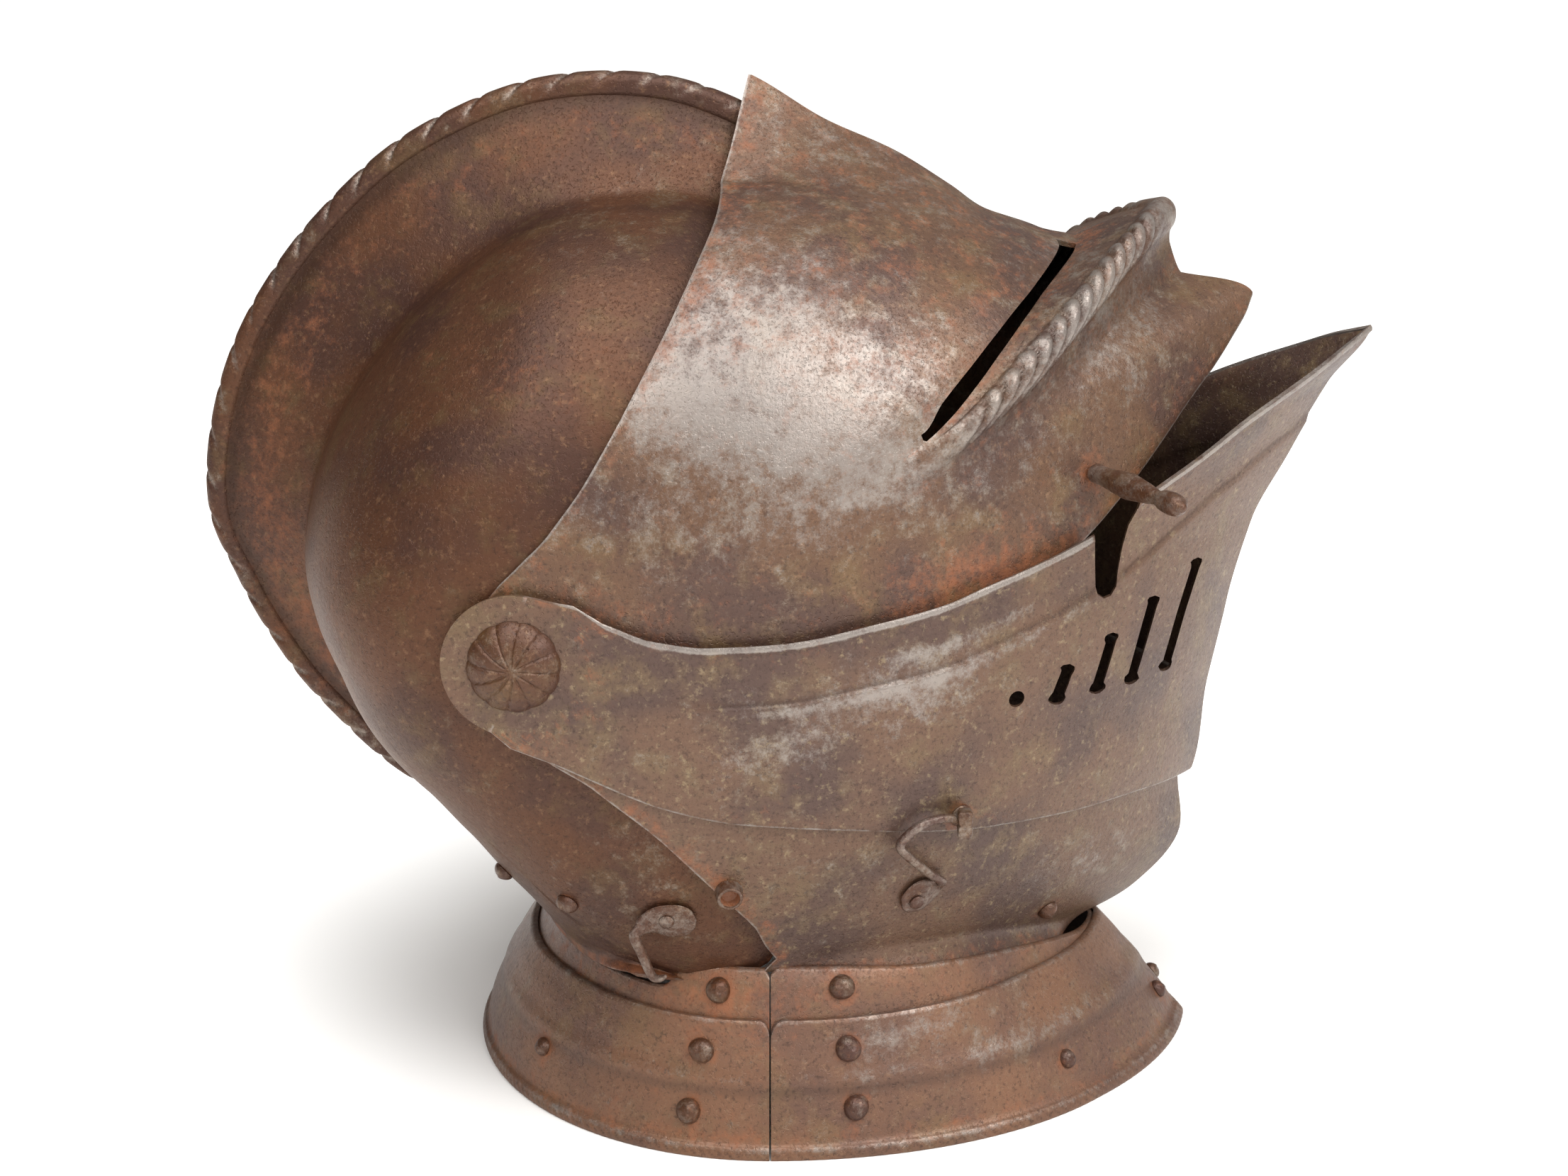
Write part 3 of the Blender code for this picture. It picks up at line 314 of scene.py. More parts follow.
# The sight: girth, then the angles of the ridge's foot, crest and shelf and of the brow, and its lift.
SIGHT = (
    (0.0, 28.2, 31.2, 32.9, 35.0, 21.8), (0.08, 28.4, 31.4, 32.4, 33.5, 21.2),
    (0.16, 28.3, 31.4, 32.3, 33.3, 19.9), (0.24, 27.8, 30.9, 32.1, 33.1, 18.2),
    (0.32, 27.2, 30.1, 31.6, 32.85, 16.0), (0.4, 26.3, 28.9, 30.6, 32.2, 13.0),
    (0.47, 25.6, 27.6, 29.2, 31.2, 9.4), (0.53, 24.6, 26.4, 27.8, 29.9, 5.6),
    (0.574, 24.0, 25.8, 27.0, 28.1, 2.8), (0.64, 22.4, 24.6, 26.4, 28.4, 0.0),
    (1.0, -12.0, 5.0, 22.0, 40.0, 0.0),
)
SIGHT_BRIDGE = 0.045
SIGHT_END = 0.574

# Gorget: height, half width, reach to the front, prow on the front, reach to the back.
GORGET = (
    (0, 98.0, 124.82, 10, -100.18), (9, 96.0, 119.32, 10, -98.68), (20, 93.5, 111.82, 9, -94.18),
    (30, 91.5, 103.82, 9, -89.18), (40, 89.5, 95.82, 8, -82.68), (50, 86.8, 89.82, 5, -78.18),
    (60, 81.0, 83.82, 3, -74.18),
)

# Rivets on the right side, mirrored to the left: node, radius of the head, distance
# forward, height and layers that they join.
LAME_RIVETS = (
    ("rear_upper_rivet", 3.9, -19.68, 48.6, 1), ("rear_middle_rivet", 3.9, -24.68, 31.5, 2),
    ("rear_rim_rivet", 3.9, -28.68, 13.1, 1), ("rear_strap_rivet", 3.0, -75.28, 17.4, 1),
    ("front_upper_rivet", 3.9, 17.32, 49.3, 1), ("front_middle_rivet", 4.0, 19.22, 32.2, 2),
    ("front_rim_rivet", 3.9, 21.62, 14.6, 1), ("front_strap_rivet", 3.0, 88.62, 13.9, 1),
    ("front_prow_rivet", 3.0, 125.42, 12.0, 1),
)
LINING_RIVET = (-63.98, 77.0)
NAPE_RIVET = (-85.18, 78.0)
BEVOR_RIVET = (83.52, 54.5)
UPPER_STUD = (51.9, 103.8)
LOWER_STUD = (-16.1, 85.0)
BEVOR_HOOK_PIN = (38.82, 75.6)
SKULL_HOOK_PIN = (-34.48, 74.8)

# Top edges of its lames: advance (0 at the seam, 1 at the keel) and height.
FRONT_UPPER_TOP = (
    (0.0, 55.3), (0.25, 54.3), (0.47, 52.0), (0.6, 50.5), (0.8, 47.0), (0.93, 42.0), (1.0, 36.8),
)
FRONT_LOWER_TOP = ((0.0, 41.0), (0.8, 40.0), (1.0, 37.6))
REAR_UPPER_TOP = ((0.0, 54.8), (0.34, 54.6), (0.39, 52.5), (0.44, 47.0), (0.5, 46.5), (1.0, 46.5))

# Upper bevor: top, foot and half width of each breath; middle, half width and half height of the hole.
BREATHS = (
    ((84.32, 145.2), (80.22, 133.9), 2.1), ((98.32, 151.7), (93.62, 133.8), 2.05),
    ((112.42, 159.6), (105.42, 133.2), 2.0), ((127.82, 167.3), (117.92, 133.1), 1.95),
)
BREATH_HOLE = (67.92, 138.0, 2.4, 2.5)
# The peg's notch and the step under the sunk border: reach from the pivot axis and angle.
NOTCH = (
    (168.4, 20.0), (168.4, 12.0), (168.0, 8.3), (167.6, 6.5), (167.4, 3.6), (168.0, 2.8), (170.0, 2.2),
    (172.3, 2.3), (174.1, 3.1), (175.4, 5.3), (176.9, 7.1), (179.1, 8.9), (182.1, 10.1), (187.0, 13.0),
    (187.0, 20.0),
)
BORDER_STEP = (
    (15, -26.0), (33, -17.0), (55, -13.7), (76, -10.0), (98, -6.0), (120, -3.3), (143, 0.0),
    (164, 2.6), (180, 4.4), (210, 8.4), (240, 11.0), (270, 12.6),
)

# Hooks: distance forward, height, lift over the plate, width and thickness of each row.
BEVOR_HOOK = (
    (36.0, 72.55, 1.1, 4.0, 1.4), (37.58, 74.26, 1.1, 9.5, 1.5), (40.22, 77.23, 1.1, 11.2, 1.5),
    (43.0, 79.15, 1.1, 9.5, 1.5), (44.82, 80.7, 1.6, 6.0, 1.7), (45.74, 82.28, 2.8, 3.2, 2.4),
    (43.44, 85.1, 3.8, 2.6, 2.6), (40.81, 87.8, 4.4, 2.6, 2.6), (38.57, 90.35, 4.8, 2.6, 2.6),
    (35.36, 93.82, 5.2, 2.6, 2.6), (32.72, 96.97, 5.5, 2.6, 2.6), (31.84, 99.07, 5.7, 2.6, 2.6),
    (33.19, 101.7, 6.0, 2.6, 2.6), (36.85, 104.86, 6.4, 2.6, 2.6), (40.97, 106.37, 6.8, 2.5, 2.5),
    (45.16, 106.19, 7.2, 2.4, 2.4), (47.83, 104.78, 7.6, 2.0, 2.0),
)
SKULL_HOOK = (
    (-26.4, 73.4, 1.1, 5.0, 1.4), (-27.94, 73.6, 1.1, 9.5, 1.5), (-30.6, 74.0, 1.1, 12.0, 1.5),
    (-33.26, 74.4, 1.2, 12.4, 1.6), (-36.83, 74.6, 1.3, 10.8, 1.6), (-39.87, 73.9, 1.8, 7.6, 1.8),
    (-41.91, 72.8, 3.0, 4.6, 2.2), (-43.14, 72.06, 4.6, 3.4, 2.7), (-42.58, 70.43, 5.6, 3.2, 2.8),
    (-41.36, 68.36, 6.4, 3.0, 2.7), (-39.89, 65.3, 7.4, 2.9, 2.5), (-38.41, 62.21, 8.4, 2.7, 2.4),
    (-36.98, 60.42, 9.2, 2.5, 2.3), (-35.31, 60.65, 9.6, 2.1, 2.0), (-33.99, 61.58, 9.6, 1.3, 1.2),
)
# Peg: x, y, z, width and thickness of each row.
PEG = (
    (90.62, -53.7, 200.9, 5.8, 5.8), (91.42, -55.3, 200.9, 5.8, 5.8), (92.62, -57.6, 200.8, 5.6, 5.6),
    (94.32, -61.2, 200.7, 6.2, 6.0), (96.82, -66.3, 200.6, 7.6, 7.0), (98.82, -70.2, 200.5, 8.2, 7.8),
    (99.82, -72.2, 200.4, 8.0, 7.4), (102.72, -78.1, 200.3, 6.4, 5.8), (105.42, -83.6, 200.1, 4.4, 4.2),
    (106.42, -85.5, 200.1, 6.0, 5.8), (108.22, -89.1, 200.0, 6.8, 6.6), (109.52, -91.8, 199.9, 6.0, 5.8),
    (110.12, -93.2, 199.9, 3.4, 3.4),
)


# ------------------------------------------------------------------------------------------ modelling


def deselect() -> None:
    """Leaves object mode with nothing selected."""
    if bpy.context.object and bpy.context.object.mode != "OBJECT":
        bpy.ops.object.mode_set(mode="OBJECT")
    bpy.ops.object.select_all(action="DESELECT")


def activate(*objects: bpy.types.Object) -> None:
    """Selects these objects only, and makes the first one active."""
    deselect()
    for obj in objects:
        obj.select_set(True)
    bpy.context.view_layer.objects.active = objects[0]


def named(name: str) -> bpy.types.Object:
    """The object that was just added, with its name on it and on its mesh."""
    made = bpy.context.object
    made.name = made.data.name = name
    return made


def coordinates(obj: bpy.types.Object) -> Array:
    """Vertex coordinates of a mesh, one row each."""
    co = np.empty(len(obj.data.vertices) * 3)
    obj.data.vertices.foreach_get("co", co)
    return co.reshape(-1, 3)


def write_coordinates(obj: bpy.types.Object, places: Array) -> None:
    """Moves a mesh's vertices to places given in millimetres."""
    obj.data.vertices.foreach_set("co", (places * MM).reshape(-1))
    obj.data.update()


def write_masks(obj: bpy.types.Object, masks: dict[Mask, Array]) -> None:
    """Stores masks on a mesh's points."""
    for mask, values in masks.items():
        layer = obj.data.attributes.new(mask.value, "FLOAT", "POINT")
        layer.data.foreach_set("value", np.clip(values, 0.0, 1.0).astype(np.float32))


def flat_pattern(name: str, columns: int, rows: int) -> bpy.types.Object:
    """Flat grid from 0 to 1 each way that is bent into a plate afterwards.

    Args:
        name: Name of the object.
        columns: Faces across.
        rows: Faces up.

    Returns:
        The grid.
    """
    deselect()
    bpy.ops.mesh.primitive_grid_add(
        x_subdivisions=columns, y_subdivisions=rows, size=1.0, location=(0.5, 0.5, 0.0)
    )
    bpy.ops.object.transform_apply(location=True, rotation=False, scale=False)
    return named(name)


def edit_faces(
    obj: bpy.types.Object, work: Callable[[], object], chosen: Callable[[Vector], bool] = lambda _: True
) -> None:
    """Runs an edit-mode operator on all faces, or on those whose centres are chosen."""
    activate(obj)
    bpy.ops.object.mode_set(mode="EDIT")
    bpy.ops.mesh.select_mode(type="FACE")
    bpy.ops.mesh.select_all(action="DESELECT")
    bpy.ops.object.mode_set(mode="OBJECT")
    for face in obj.data.polygons:
        face.select = chosen(face.center)
    bpy.ops.object.mode_set(mode="EDIT")
    work()
    bpy.ops.object.mode_set(mode="OBJECT")


def merge(obj: bpy.types.Object, distance: float) -> None:
    """Makes vertices closer than a distance in metres one."""
    edit_faces(obj, lambda: bpy.ops.mesh.remove_doubles(threshold=distance))


def outward(obj: bpy.types.Object) -> None:
    """Turns a closed mesh's faces outwards."""
    edit_faces(obj, lambda: bpy.ops.mesh.normals_make_consistent(inside=False))


def face_out(obj: bpy.types.Object) -> None:
    """Turns an open shell's faces away from the middle of the head."""
    centre = Vector((PIVOT_X, 0, PIVOT_Z)) * MM
    if sum(face.normal.dot(face.center - centre) * face.area for face in obj.data.polygons) < 0:
        edit_faces(obj, bpy.ops.mesh.flip_normals)


def join(pieces: list[bpy.types.Object]) -> bpy.types.Object:
    """Joins meshes into the first one."""
    activate(*pieces)
    bpy.ops.object.join()
    return pieces[0]


def apply(obj: bpy.types.Object, kind: str, **settings: object) -> None:
    """Adds a modifier with its settings and applies it."""
    activate(obj)
    modifier = obj.modifiers.new(kind.lower(), kind)
    for key, value in settings.items():
        setattr(modifier, key, value)
    bpy.ops.object.modifier_apply(modifier=modifier.name)


def shade(obj: bpy.types.Object, degrees: float = 40.0) -> None:
    """Shades a mesh smooth but for creases sharper than an angle."""
    activate(obj)
    bpy.ops.object.shade_smooth_by_angle(angle=math.radians(degrees))


def skin(name: str, rings: Array, start: Array, end: Array) -> bpy.types.Object:
    """Closed body shaped from a sphere: its parallels become the rings, its poles the two ends.

    Args:
        name: Name of the object.
        rings: Places in millimetres, ring by ring.
        start: Place of the first pole.
        end: Place of the last pole.

    Returns:
        The body, with its faces outwards.
    """
    count, sides = rings.shape[:2]
    deselect()
    bpy.ops.mesh.primitive_uv_sphere_add(segments=sides, ring_count=count + 1, radius=1.0)
    made = named(name)
    co = coordinates(made)
    polar = np.arccos(np.clip(co[:, 2] / np.linalg.norm(co, axis=1), -1, 1)) / math.pi * (count + 1)
    ring = np.rint(polar).astype(int)
    side = np.rint(np.arctan2(co[:, 1], co[:, 0]) / (2 * math.pi) * sides).astype(int) % sides
    places = rings[np.clip(ring - 1, 0, count - 1), side]
    places[ring == 0], places[ring == count + 1] = start, end
    write_coordinates(made, places)
    outward(made)
    return made


def prism(outline: Rows, near: float, far: float = -98.0) -> bpy.types.Object:
    """Cutter through a plate's right side.

    Args:
        outline: x and z of its corners.
        near: Its end towards the middle.
        far: Its outer end.

    Returns:
        The cutter, made from a cylinder with a side for each corner.
    """
    deselect()
    bpy.ops.mesh.primitive_cylinder_add(vertices=len(outline), radius=1.0, depth=2.0, end_fill_type="NGON")
    made = named("cutter")
    co = coordinates(made)
    step = np.rint(np.arctan2(co[:, 0], co[:, 1]) / (2 * math.pi) * len(outline)).astype(int)
    corners = np.array(outline)[step % len(outline)]
    side = np.where(co[:, 2] > 0, far, near)
    write_coordinates(made, np.stack([corners[:, 0], side, corners[:, 1]], axis=-1))
    outward(made)
    return made


# ------------------------------------------------------------------------------------------- patterns


def spaced(
    form: Form, girth: Array, v: Array, rows: int, edges: tuple[Array, Array],
    low: Sequence[float] = CLOSE_ROWS, high: Sequence[float] = CLOSE_ROWS,
) -> Array:
    """Spaces a plate's rows evenly but for close ones at each edge.

    Args:
        form: Surface that the plate lies on.
        girth: Girth of each point.
        v: Place up the pattern, 0 to 1.
        rows: Faces up the pattern.
        edges: Angles of the lower and the upper edge at each point.
        low: Distances of the first rows from the lower edge, in millimetres, starting with 0.
        high: Distances of the last rows from the upper edge, starting with 0.

    Returns:
        The angle of each point.
    """
    i, (start, end) = v * rows, edges
    a, b = len(low) - 1, len(high) - 1
    share = np.clip((i - a) / (rows - a - b), 0.0, 1.0)
    degree = 180 / math.pi / form.reach((start + end) / 2, girth)
    start = start + np.interp(i, range(a + 1), low) * degree
    end = end - np.interp(rows - i, range(b + 1), high) * degree
    return start + (end - start) * share


def run_length(places: Array) -> Array:
    """Length along a line of places up to each one."""
    steps = np.linalg.norm(np.diff(places, axis=0), axis=1)
    return np.concatenate([[0.0], np.cumsum(steps)])


def patches(at: Array, rows: Rows) -> Array:
    """Soft ovals on both sides of the helmet.

    Args:
        at: Places, in millimetres.
        rows: Height, x and z of the middle, half length, half width and, where it isn't level, degrees
            from level to the length of each oval.

    Returns:
        The sum of the ovals' heights at each place.
    """
    found = np.zeros(len(at))
    for height, x, z, length, width, *turn in rows:
        a = math.radians(sum(turn))
        dx, dz = at[:, 0] - x, at[:, 2] - z
        along, across = dx * math.cos(a) + dz * math.sin(a), dz * math.cos(a) - dx * math.sin(a)
        found += height * np.exp(-((along / length) ** 2) - (across / width) ** 2)
    return found


def spots(at: Array, places: Sequence[Vector], radius: float) -> Array:
    """Soft round spots of height 1 at places on the right side and their mirror images."""
    found = np.zeros(len(at))
    for place in places:
        away = np.hypot(np.hypot(at[:, 0] - place[0], np.abs(at[:, 1]) - abs(place[1])), at[:, 2] - place[2])
        found = np.maximum(found, 1 - smooth(0.35 * radius, radius, away))
    return found


def twist(phase: Array, sharpness: float) -> Array:
    """Section of a rope's strands: 0 on a strand's back, 1 in the notch between two."""
    return 1 - np.abs(np.sin(np.pi * phase)) ** sharpness


@dataclass
class PivotPlate:
    """Plate hung on the two pivots, raised from a flat pattern and given its wall.

    Attributes:
        name: Name of the piece.
        body: Body that it rides on.
        slot: Slot of its finish.
        form: Surface that it lies on.
        columns: Faces across the pattern.
        rows: Faces up the pattern.
        stations: Share of the half pattern and the girth there.
        rubbed: Ovals of bare metal, some of them also a painted highlight.
        rusted: Ovals of rust.
        fastened: x and z of the rivets and hooks on the right side that have rust round them.
        ring_rows: Faces across the ring round a pivot hole.
        easing: How deep the edges are eased.
        easing_width: How far in from an edge that begins.
    """

    name: str
    body: Body
    slot: str
    form: Form
    columns: int
    rows: int
    stations: Rows
    rubbed: Rows = ()
    rusted: Rows = ()
    fastened: Rows = ()
    ring_rows: int = 5
    easing: float = 0.3
    easing_width: float = 0.9

    def girth(self, u: Array) -> Array:
        """Signed girth of a place across the pattern."""
        knots = np.array(self.stations)
        return np.sign(2 * u - 1) * np.interp(np.abs(2 * u - 1), knots[:, 0], knots[:, 1])

    def angles(self, girth: Array, v: Array) -> Array:
        """Angle up from straight ahead of each point of the pattern."""
        raise NotImplementedError

    def lift(self, girth: Array, v: Array) -> Array:
        """Height over the form of each point of the pattern."""
        return np.zeros_like(girth)

    def place(self, u: Array, v: Array) -> Array:
        """Where the pattern's points go, without their relief."""
        girth = self.girth(u)
        return self.form.places(self.angles(girth, v), girth, self.lift(girth, v))

    def edge_distance(self, u: Array, v: Array) -> Array:
        """Distance in millimetres from the plate's lower and upper edges, along the rows."""
        girth = self.girth(u)
        low, angle, high = (self.angles(girth, row) for row in (np.zeros_like(v), v, np.ones_like(v)))
        return np.minimum(angle - low, high - angle) * np.radians(self.form.reach(angle, girth))

    def relief(self, u: Array, v: Array) -> Array:
        """Relief along the normal; the plate's edges are eased."""
        eased = 1 - smooth(0.0, self.easing_width, self.edge_distance(u, v))
        return -self.easing * eased * (1 - smooth(0.985, 1.0, np.abs(self.girth(u))))

    def raised(self, u: Array, v: Array) -> Array:
        """Places of the pattern's points, with their relief along the normal."""
        step = 2e-4
        side = self.place(np.minimum(u + step, 1), v) - self.place(np.maximum(u - step, 0), v)
        rise = self.place(u, np.minimum(v + step, 1)) - self.place(u, np.maximum(v - step, 0))
        return self.place(u, v) + unit(np.cross(side, rise)) * self.relief(u, v)[:, None]

    def mask_values(self, u: Array, v: Array, at: Array) -> dict[Mask, Array]:
        """Bright edges from wear and rusted places of the plate, without its ovals; no painted shade yet."""
        edge = self.edge_distance(u, v)
        places = [self.form.seat(*spot)[0] for spot in self.fastened]
        rust = 0.16 * bump(3.0, 3.5, edge) + 0.42 * spots(at, places, 8.0)
        return {Mask.WORN_AND_HIGHLIT: 0.42 * (1 - smooth(0.2, 1.0, edge)), Mask.RUST: rust, Mask.PAINTED_SHADE: np.zeros_like(u)}

    def refine(self, flat: bpy.types.Object) -> None:
        """Adds finer faces to the flat pattern, or takes some out, where a plate needs it."""

    def rings(self) -> list[bpy.types.Object]:
        """Flat rings round the two pivot holes, which carry on the arm's end rows."""
        made = []
        rows = np.linspace(0, 1, self.rows + 1)
        arm = self.angles(np.ones_like(rows), rows)
        back = 360 - (arm[-1] - arm[0])
        steps = round(back / 4)
        angles = np.concatenate([arm, arm[-1] + back * np.arange(1, steps + 1) / steps])
        for side in (-1, 1):
            ring = flat_pattern(f"{self.name}_ring", len(angles) - 1, self.ring_rows)
            co = coordinates(ring)
            angle = angles[np.rint(co[:, 0] * (len(angles) - 1)).astype(int)]
            inside = (self.form.disc - PIVOT_HOLE) * co[:, 1]
            open_edge = smooth(0, 12, angle - arm[-1]) * smooth(0, 12, arm[0] + 360 - angle)
            inward = self.easing * np.clip(1 - inside / self.easing_width, 0, 1) * open_edge
            y = side * (self.form.half_width - inward)
            write_coordinates(ring, round_pivot(self.form.disc - inside, angle, y))
            face_out(ring)
            made.append(ring)
        return made

    def cut(self, made: bpy.types.Object) -> None:
        """Cuts through the finished wall."""

    def build(self) -> bpy.types.Object:
        """Raises the plate and gives it its wall.

        Returns:
            The finished mesh, still without a finish.
        """
        flat = flat_pattern(self.name, self.columns, self.rows)
        self.refine(flat)
        u, v, _ = coordinates(flat).T
        at = self.raised(u, v)
        masks = self.mask_values(u, v, at)
        masks[Mask.WORN_AND_HIGHLIT] += patches(at, self.rubbed)
        masks[Mask.RUST] += patches(at, self.rusted)
        write_masks(flat, masks)
        write_coordinates(flat, at)
        face_out(flat)
        made = join([flat, *self.rings()])
        merge(made, 3e-5)
        apply(made, "SOLIDIFY", thickness=WALL * MM, offset=-1.0, use_even_offset=False)
        self.cut(made)
        shade(made)
        return made


# --------------------------------------------------------------------------------------------- plates


@dataclass
class SkullPlate(PivotPlate):
    """Bowl with its high comb, whose edge is roped, and a turned-out flange at the nape."""

    # The first oval lightens the lower skull: partly bare metal, partly a painted sheen.
    rubbed: Rows = ((0.2, -35, 92, 45, 22, 30), (0.14, -110, 120, 22, 40, -60), (0.16, -45, 275, 40, 16, 20))
    rusted: Rows = ((0.22, -150, 150, 30, 70), (0.25, -75, 235, 25, 14))
    fastened: Rows = (LINING_RIVET, NAPE_RIVET, SKULL_HOOK_PIN)
    flange_depth: float = 6.5
    flange_rise: float = 2.5
    flange_width: Rows = ((0.0, 4.2), (0.3, 4.4), (0.42, 5.6), (0.5, 6.8), (0.6, 6.8))
    strand: float = 14.0
    cut_depth: float = 1.25

    def angles(self, girth: Array, v: Array) -> Array:
        """Rows between the face opening and the nape."""
        g = np.abs(girth)
        edges = (blended(SKULL_FRONT_EDGE, g), blended(SKULL_LOWER_EDGE, g))
        return spaced(self.form, g, v, self.rows, edges)

    def place(self, u: Array, v: Array) -> Array:
        """Bowl and comb; the comb's edge narrows with its height, and the nape's edge turns out."""
        girth = self.girth(u)
        angle = self.angles(girth, v)
        keel = self.form.keel(angle)
        drop = np.interp(np.abs(2 * u - 1) * self.columns / 2, (3, 5), (0, 1))
        y = self.form.side(girth) + 0.25 * drop
        edge = np.minimum(COMB_EDGE_RADIUS, keel / 3)
        narrow = np.maximum(edge / COMB_EDGE_RADIUS, 0.15)
        y = y * (1 - (1 - narrow) * (1 - smooth(4.3, 12.0, y)))
        share = np.minimum(1.0, y / self.form.half_width) ** (BOWL_POWER / 2)
        g = np.where(np.abs(girth) > 0.2, np.abs(girth), np.degrees(np.arcsin(share)) / 90)
        combed = self.form.places(angle, g * np.sign(girth + 1e-12), 0.0, drop)
        step = round_pivot(self.form.bowl(angle, g) + keel - edge - drop * edge, angle, combed[:, 1])
        at = np.where(((drop > 0) & (y <= edge + 0.3))[:, None], step, combed)
        return at + self.flange(girth, v, at)

    def flange(self, girth: Array, v: Array, at: Array) -> Array:
        """How far the nape's edge is turned out, widest at its two ends."""
        g = np.abs(girth)
        share = np.clip(1 - self.from_nape(girth, v) / self.flange_depth, 0, 1) ** 1.15
        share = (share * (1 - smooth(0.53, 0.57, g)))[:, None]
        out = unit(np.stack([at[:, 0] - SEAM_X, at[:, 1], np.zeros(len(at))], axis=-1))
        rise = np.array((0.0, 0.0, self.flange_rise))
        return (out * blended(self.flange_width, g)[:, None] + rise) * share

    def from_nape(self, girth: Array, v: Array) -> Array:
        """Distance up from the lower edge, in millimetres."""
        low = blended(SKULL_LOWER_EDGE, np.abs(girth))
        return np.radians(low - self.angles(girth, v)) * self.form.reach(low, girth)

    def edge_distance(self, u: Array, v: Array) -> Array:
        """Distance from the face opening and the lower edge; the closed seam under the pivot has none."""
        return np.where(np.abs(self.girth(u)) > 0.828, 50.0, super().edge_distance(u, v))

    def on_comb(self, u: Array, v: Array) -> tuple[Array, Array, Array]:
        """Place on the comb.

        Returns:
            Distance over its edge from the crest in millimetres, share of its full height, and depth of
            the short slanting cuts that are left of its rope.
        """
        angle = self.angles(self.girth(u), v)
        knots = np.linspace(20, 275, 300)
        length = np.interp(angle, knots, run_length(self.form.places(knots, np.zeros_like(knots))))
        column_at = (u - 0.5) * self.columns
        side = np.interp(np.abs(column_at), (0, 3, 5, 8, 40), (0, 6.28, 10.28, 13.5, 80.0))
        phase = (length + 0.85 * np.sign(column_at) * side) / self.strand
        cuts = bump(0.0, 1.35, np.abs(phase - np.rint(phase)) * self.strand)
        cuts = cuts * (1 - smooth(4.5, 8.0, side)) * (0.8 + 0.2 * np.sin(length / 31.0))
        return side, smooth(6, 16, self.form.keel(angle)), cuts

    def relief(self, u: Array, v: Array) -> Array:
        """Worn rope round the comb's edge over a fine undercut."""
        side, height, cuts = self.on_comb(u, v)
        return super().relief(u, v) - height * (self.cut_depth * cuts + 0.7 * bump(9.9, 0.8, side) + 0.25)

    def refine(self, flat: bpy.types.Object) -> None:
        """Gives the comb's edge three times the rows and columns."""
        edit_faces(
            flat, lambda: bpy.ops.mesh.subdivide(number_cuts=2, ngon=False),
            lambda centre: abs(centre.x - 0.5) < 6.5 / self.columns,
        )

    def mask_values(self, u: Array, v: Array, at: Array) -> dict[Mask, Array]:
        """Bright crest from wear with painted highlights in its notches, rust along the comb's foot, and
        painted shade in its undercut and in a dark line low on its side.
        """
        masks = super().mask_values(u, v, at)
        side, height, cuts = self.on_comb(u, v)
        # Crest bright from wear; the added brightness in the rope's cuts is a painted highlight.
        crest = (1 - smooth(7.5, 9.5, side)) * height * (0.14 + 0.5 * cuts)
        masks[Mask.WORN_AND_HIGHLIT] = np.maximum(masks[Mask.WORN_AND_HIGHLIT], crest)
        # Painted shade in the undercut under the rope and in a dark line low on the comb's side.
        masks[Mask.PAINTED_SHADE] = height * (0.8 * bump(10.3, 1.4, side) + 0.55 * bump(33.0, 2.2, side))
        girth = self.girth(u)
        nape = 1 - smooth(self.flange_depth - 1.5, self.flange_depth + 1, self.from_nape(girth, v))
        masks[Mask.RUST] += 0.22 * height * bump(13.0, 4.0, side)
        masks[Mask.RUST] += 0.34 * nape * (v > 0.5) * (np.abs(girth) < 0.58)
        return masks


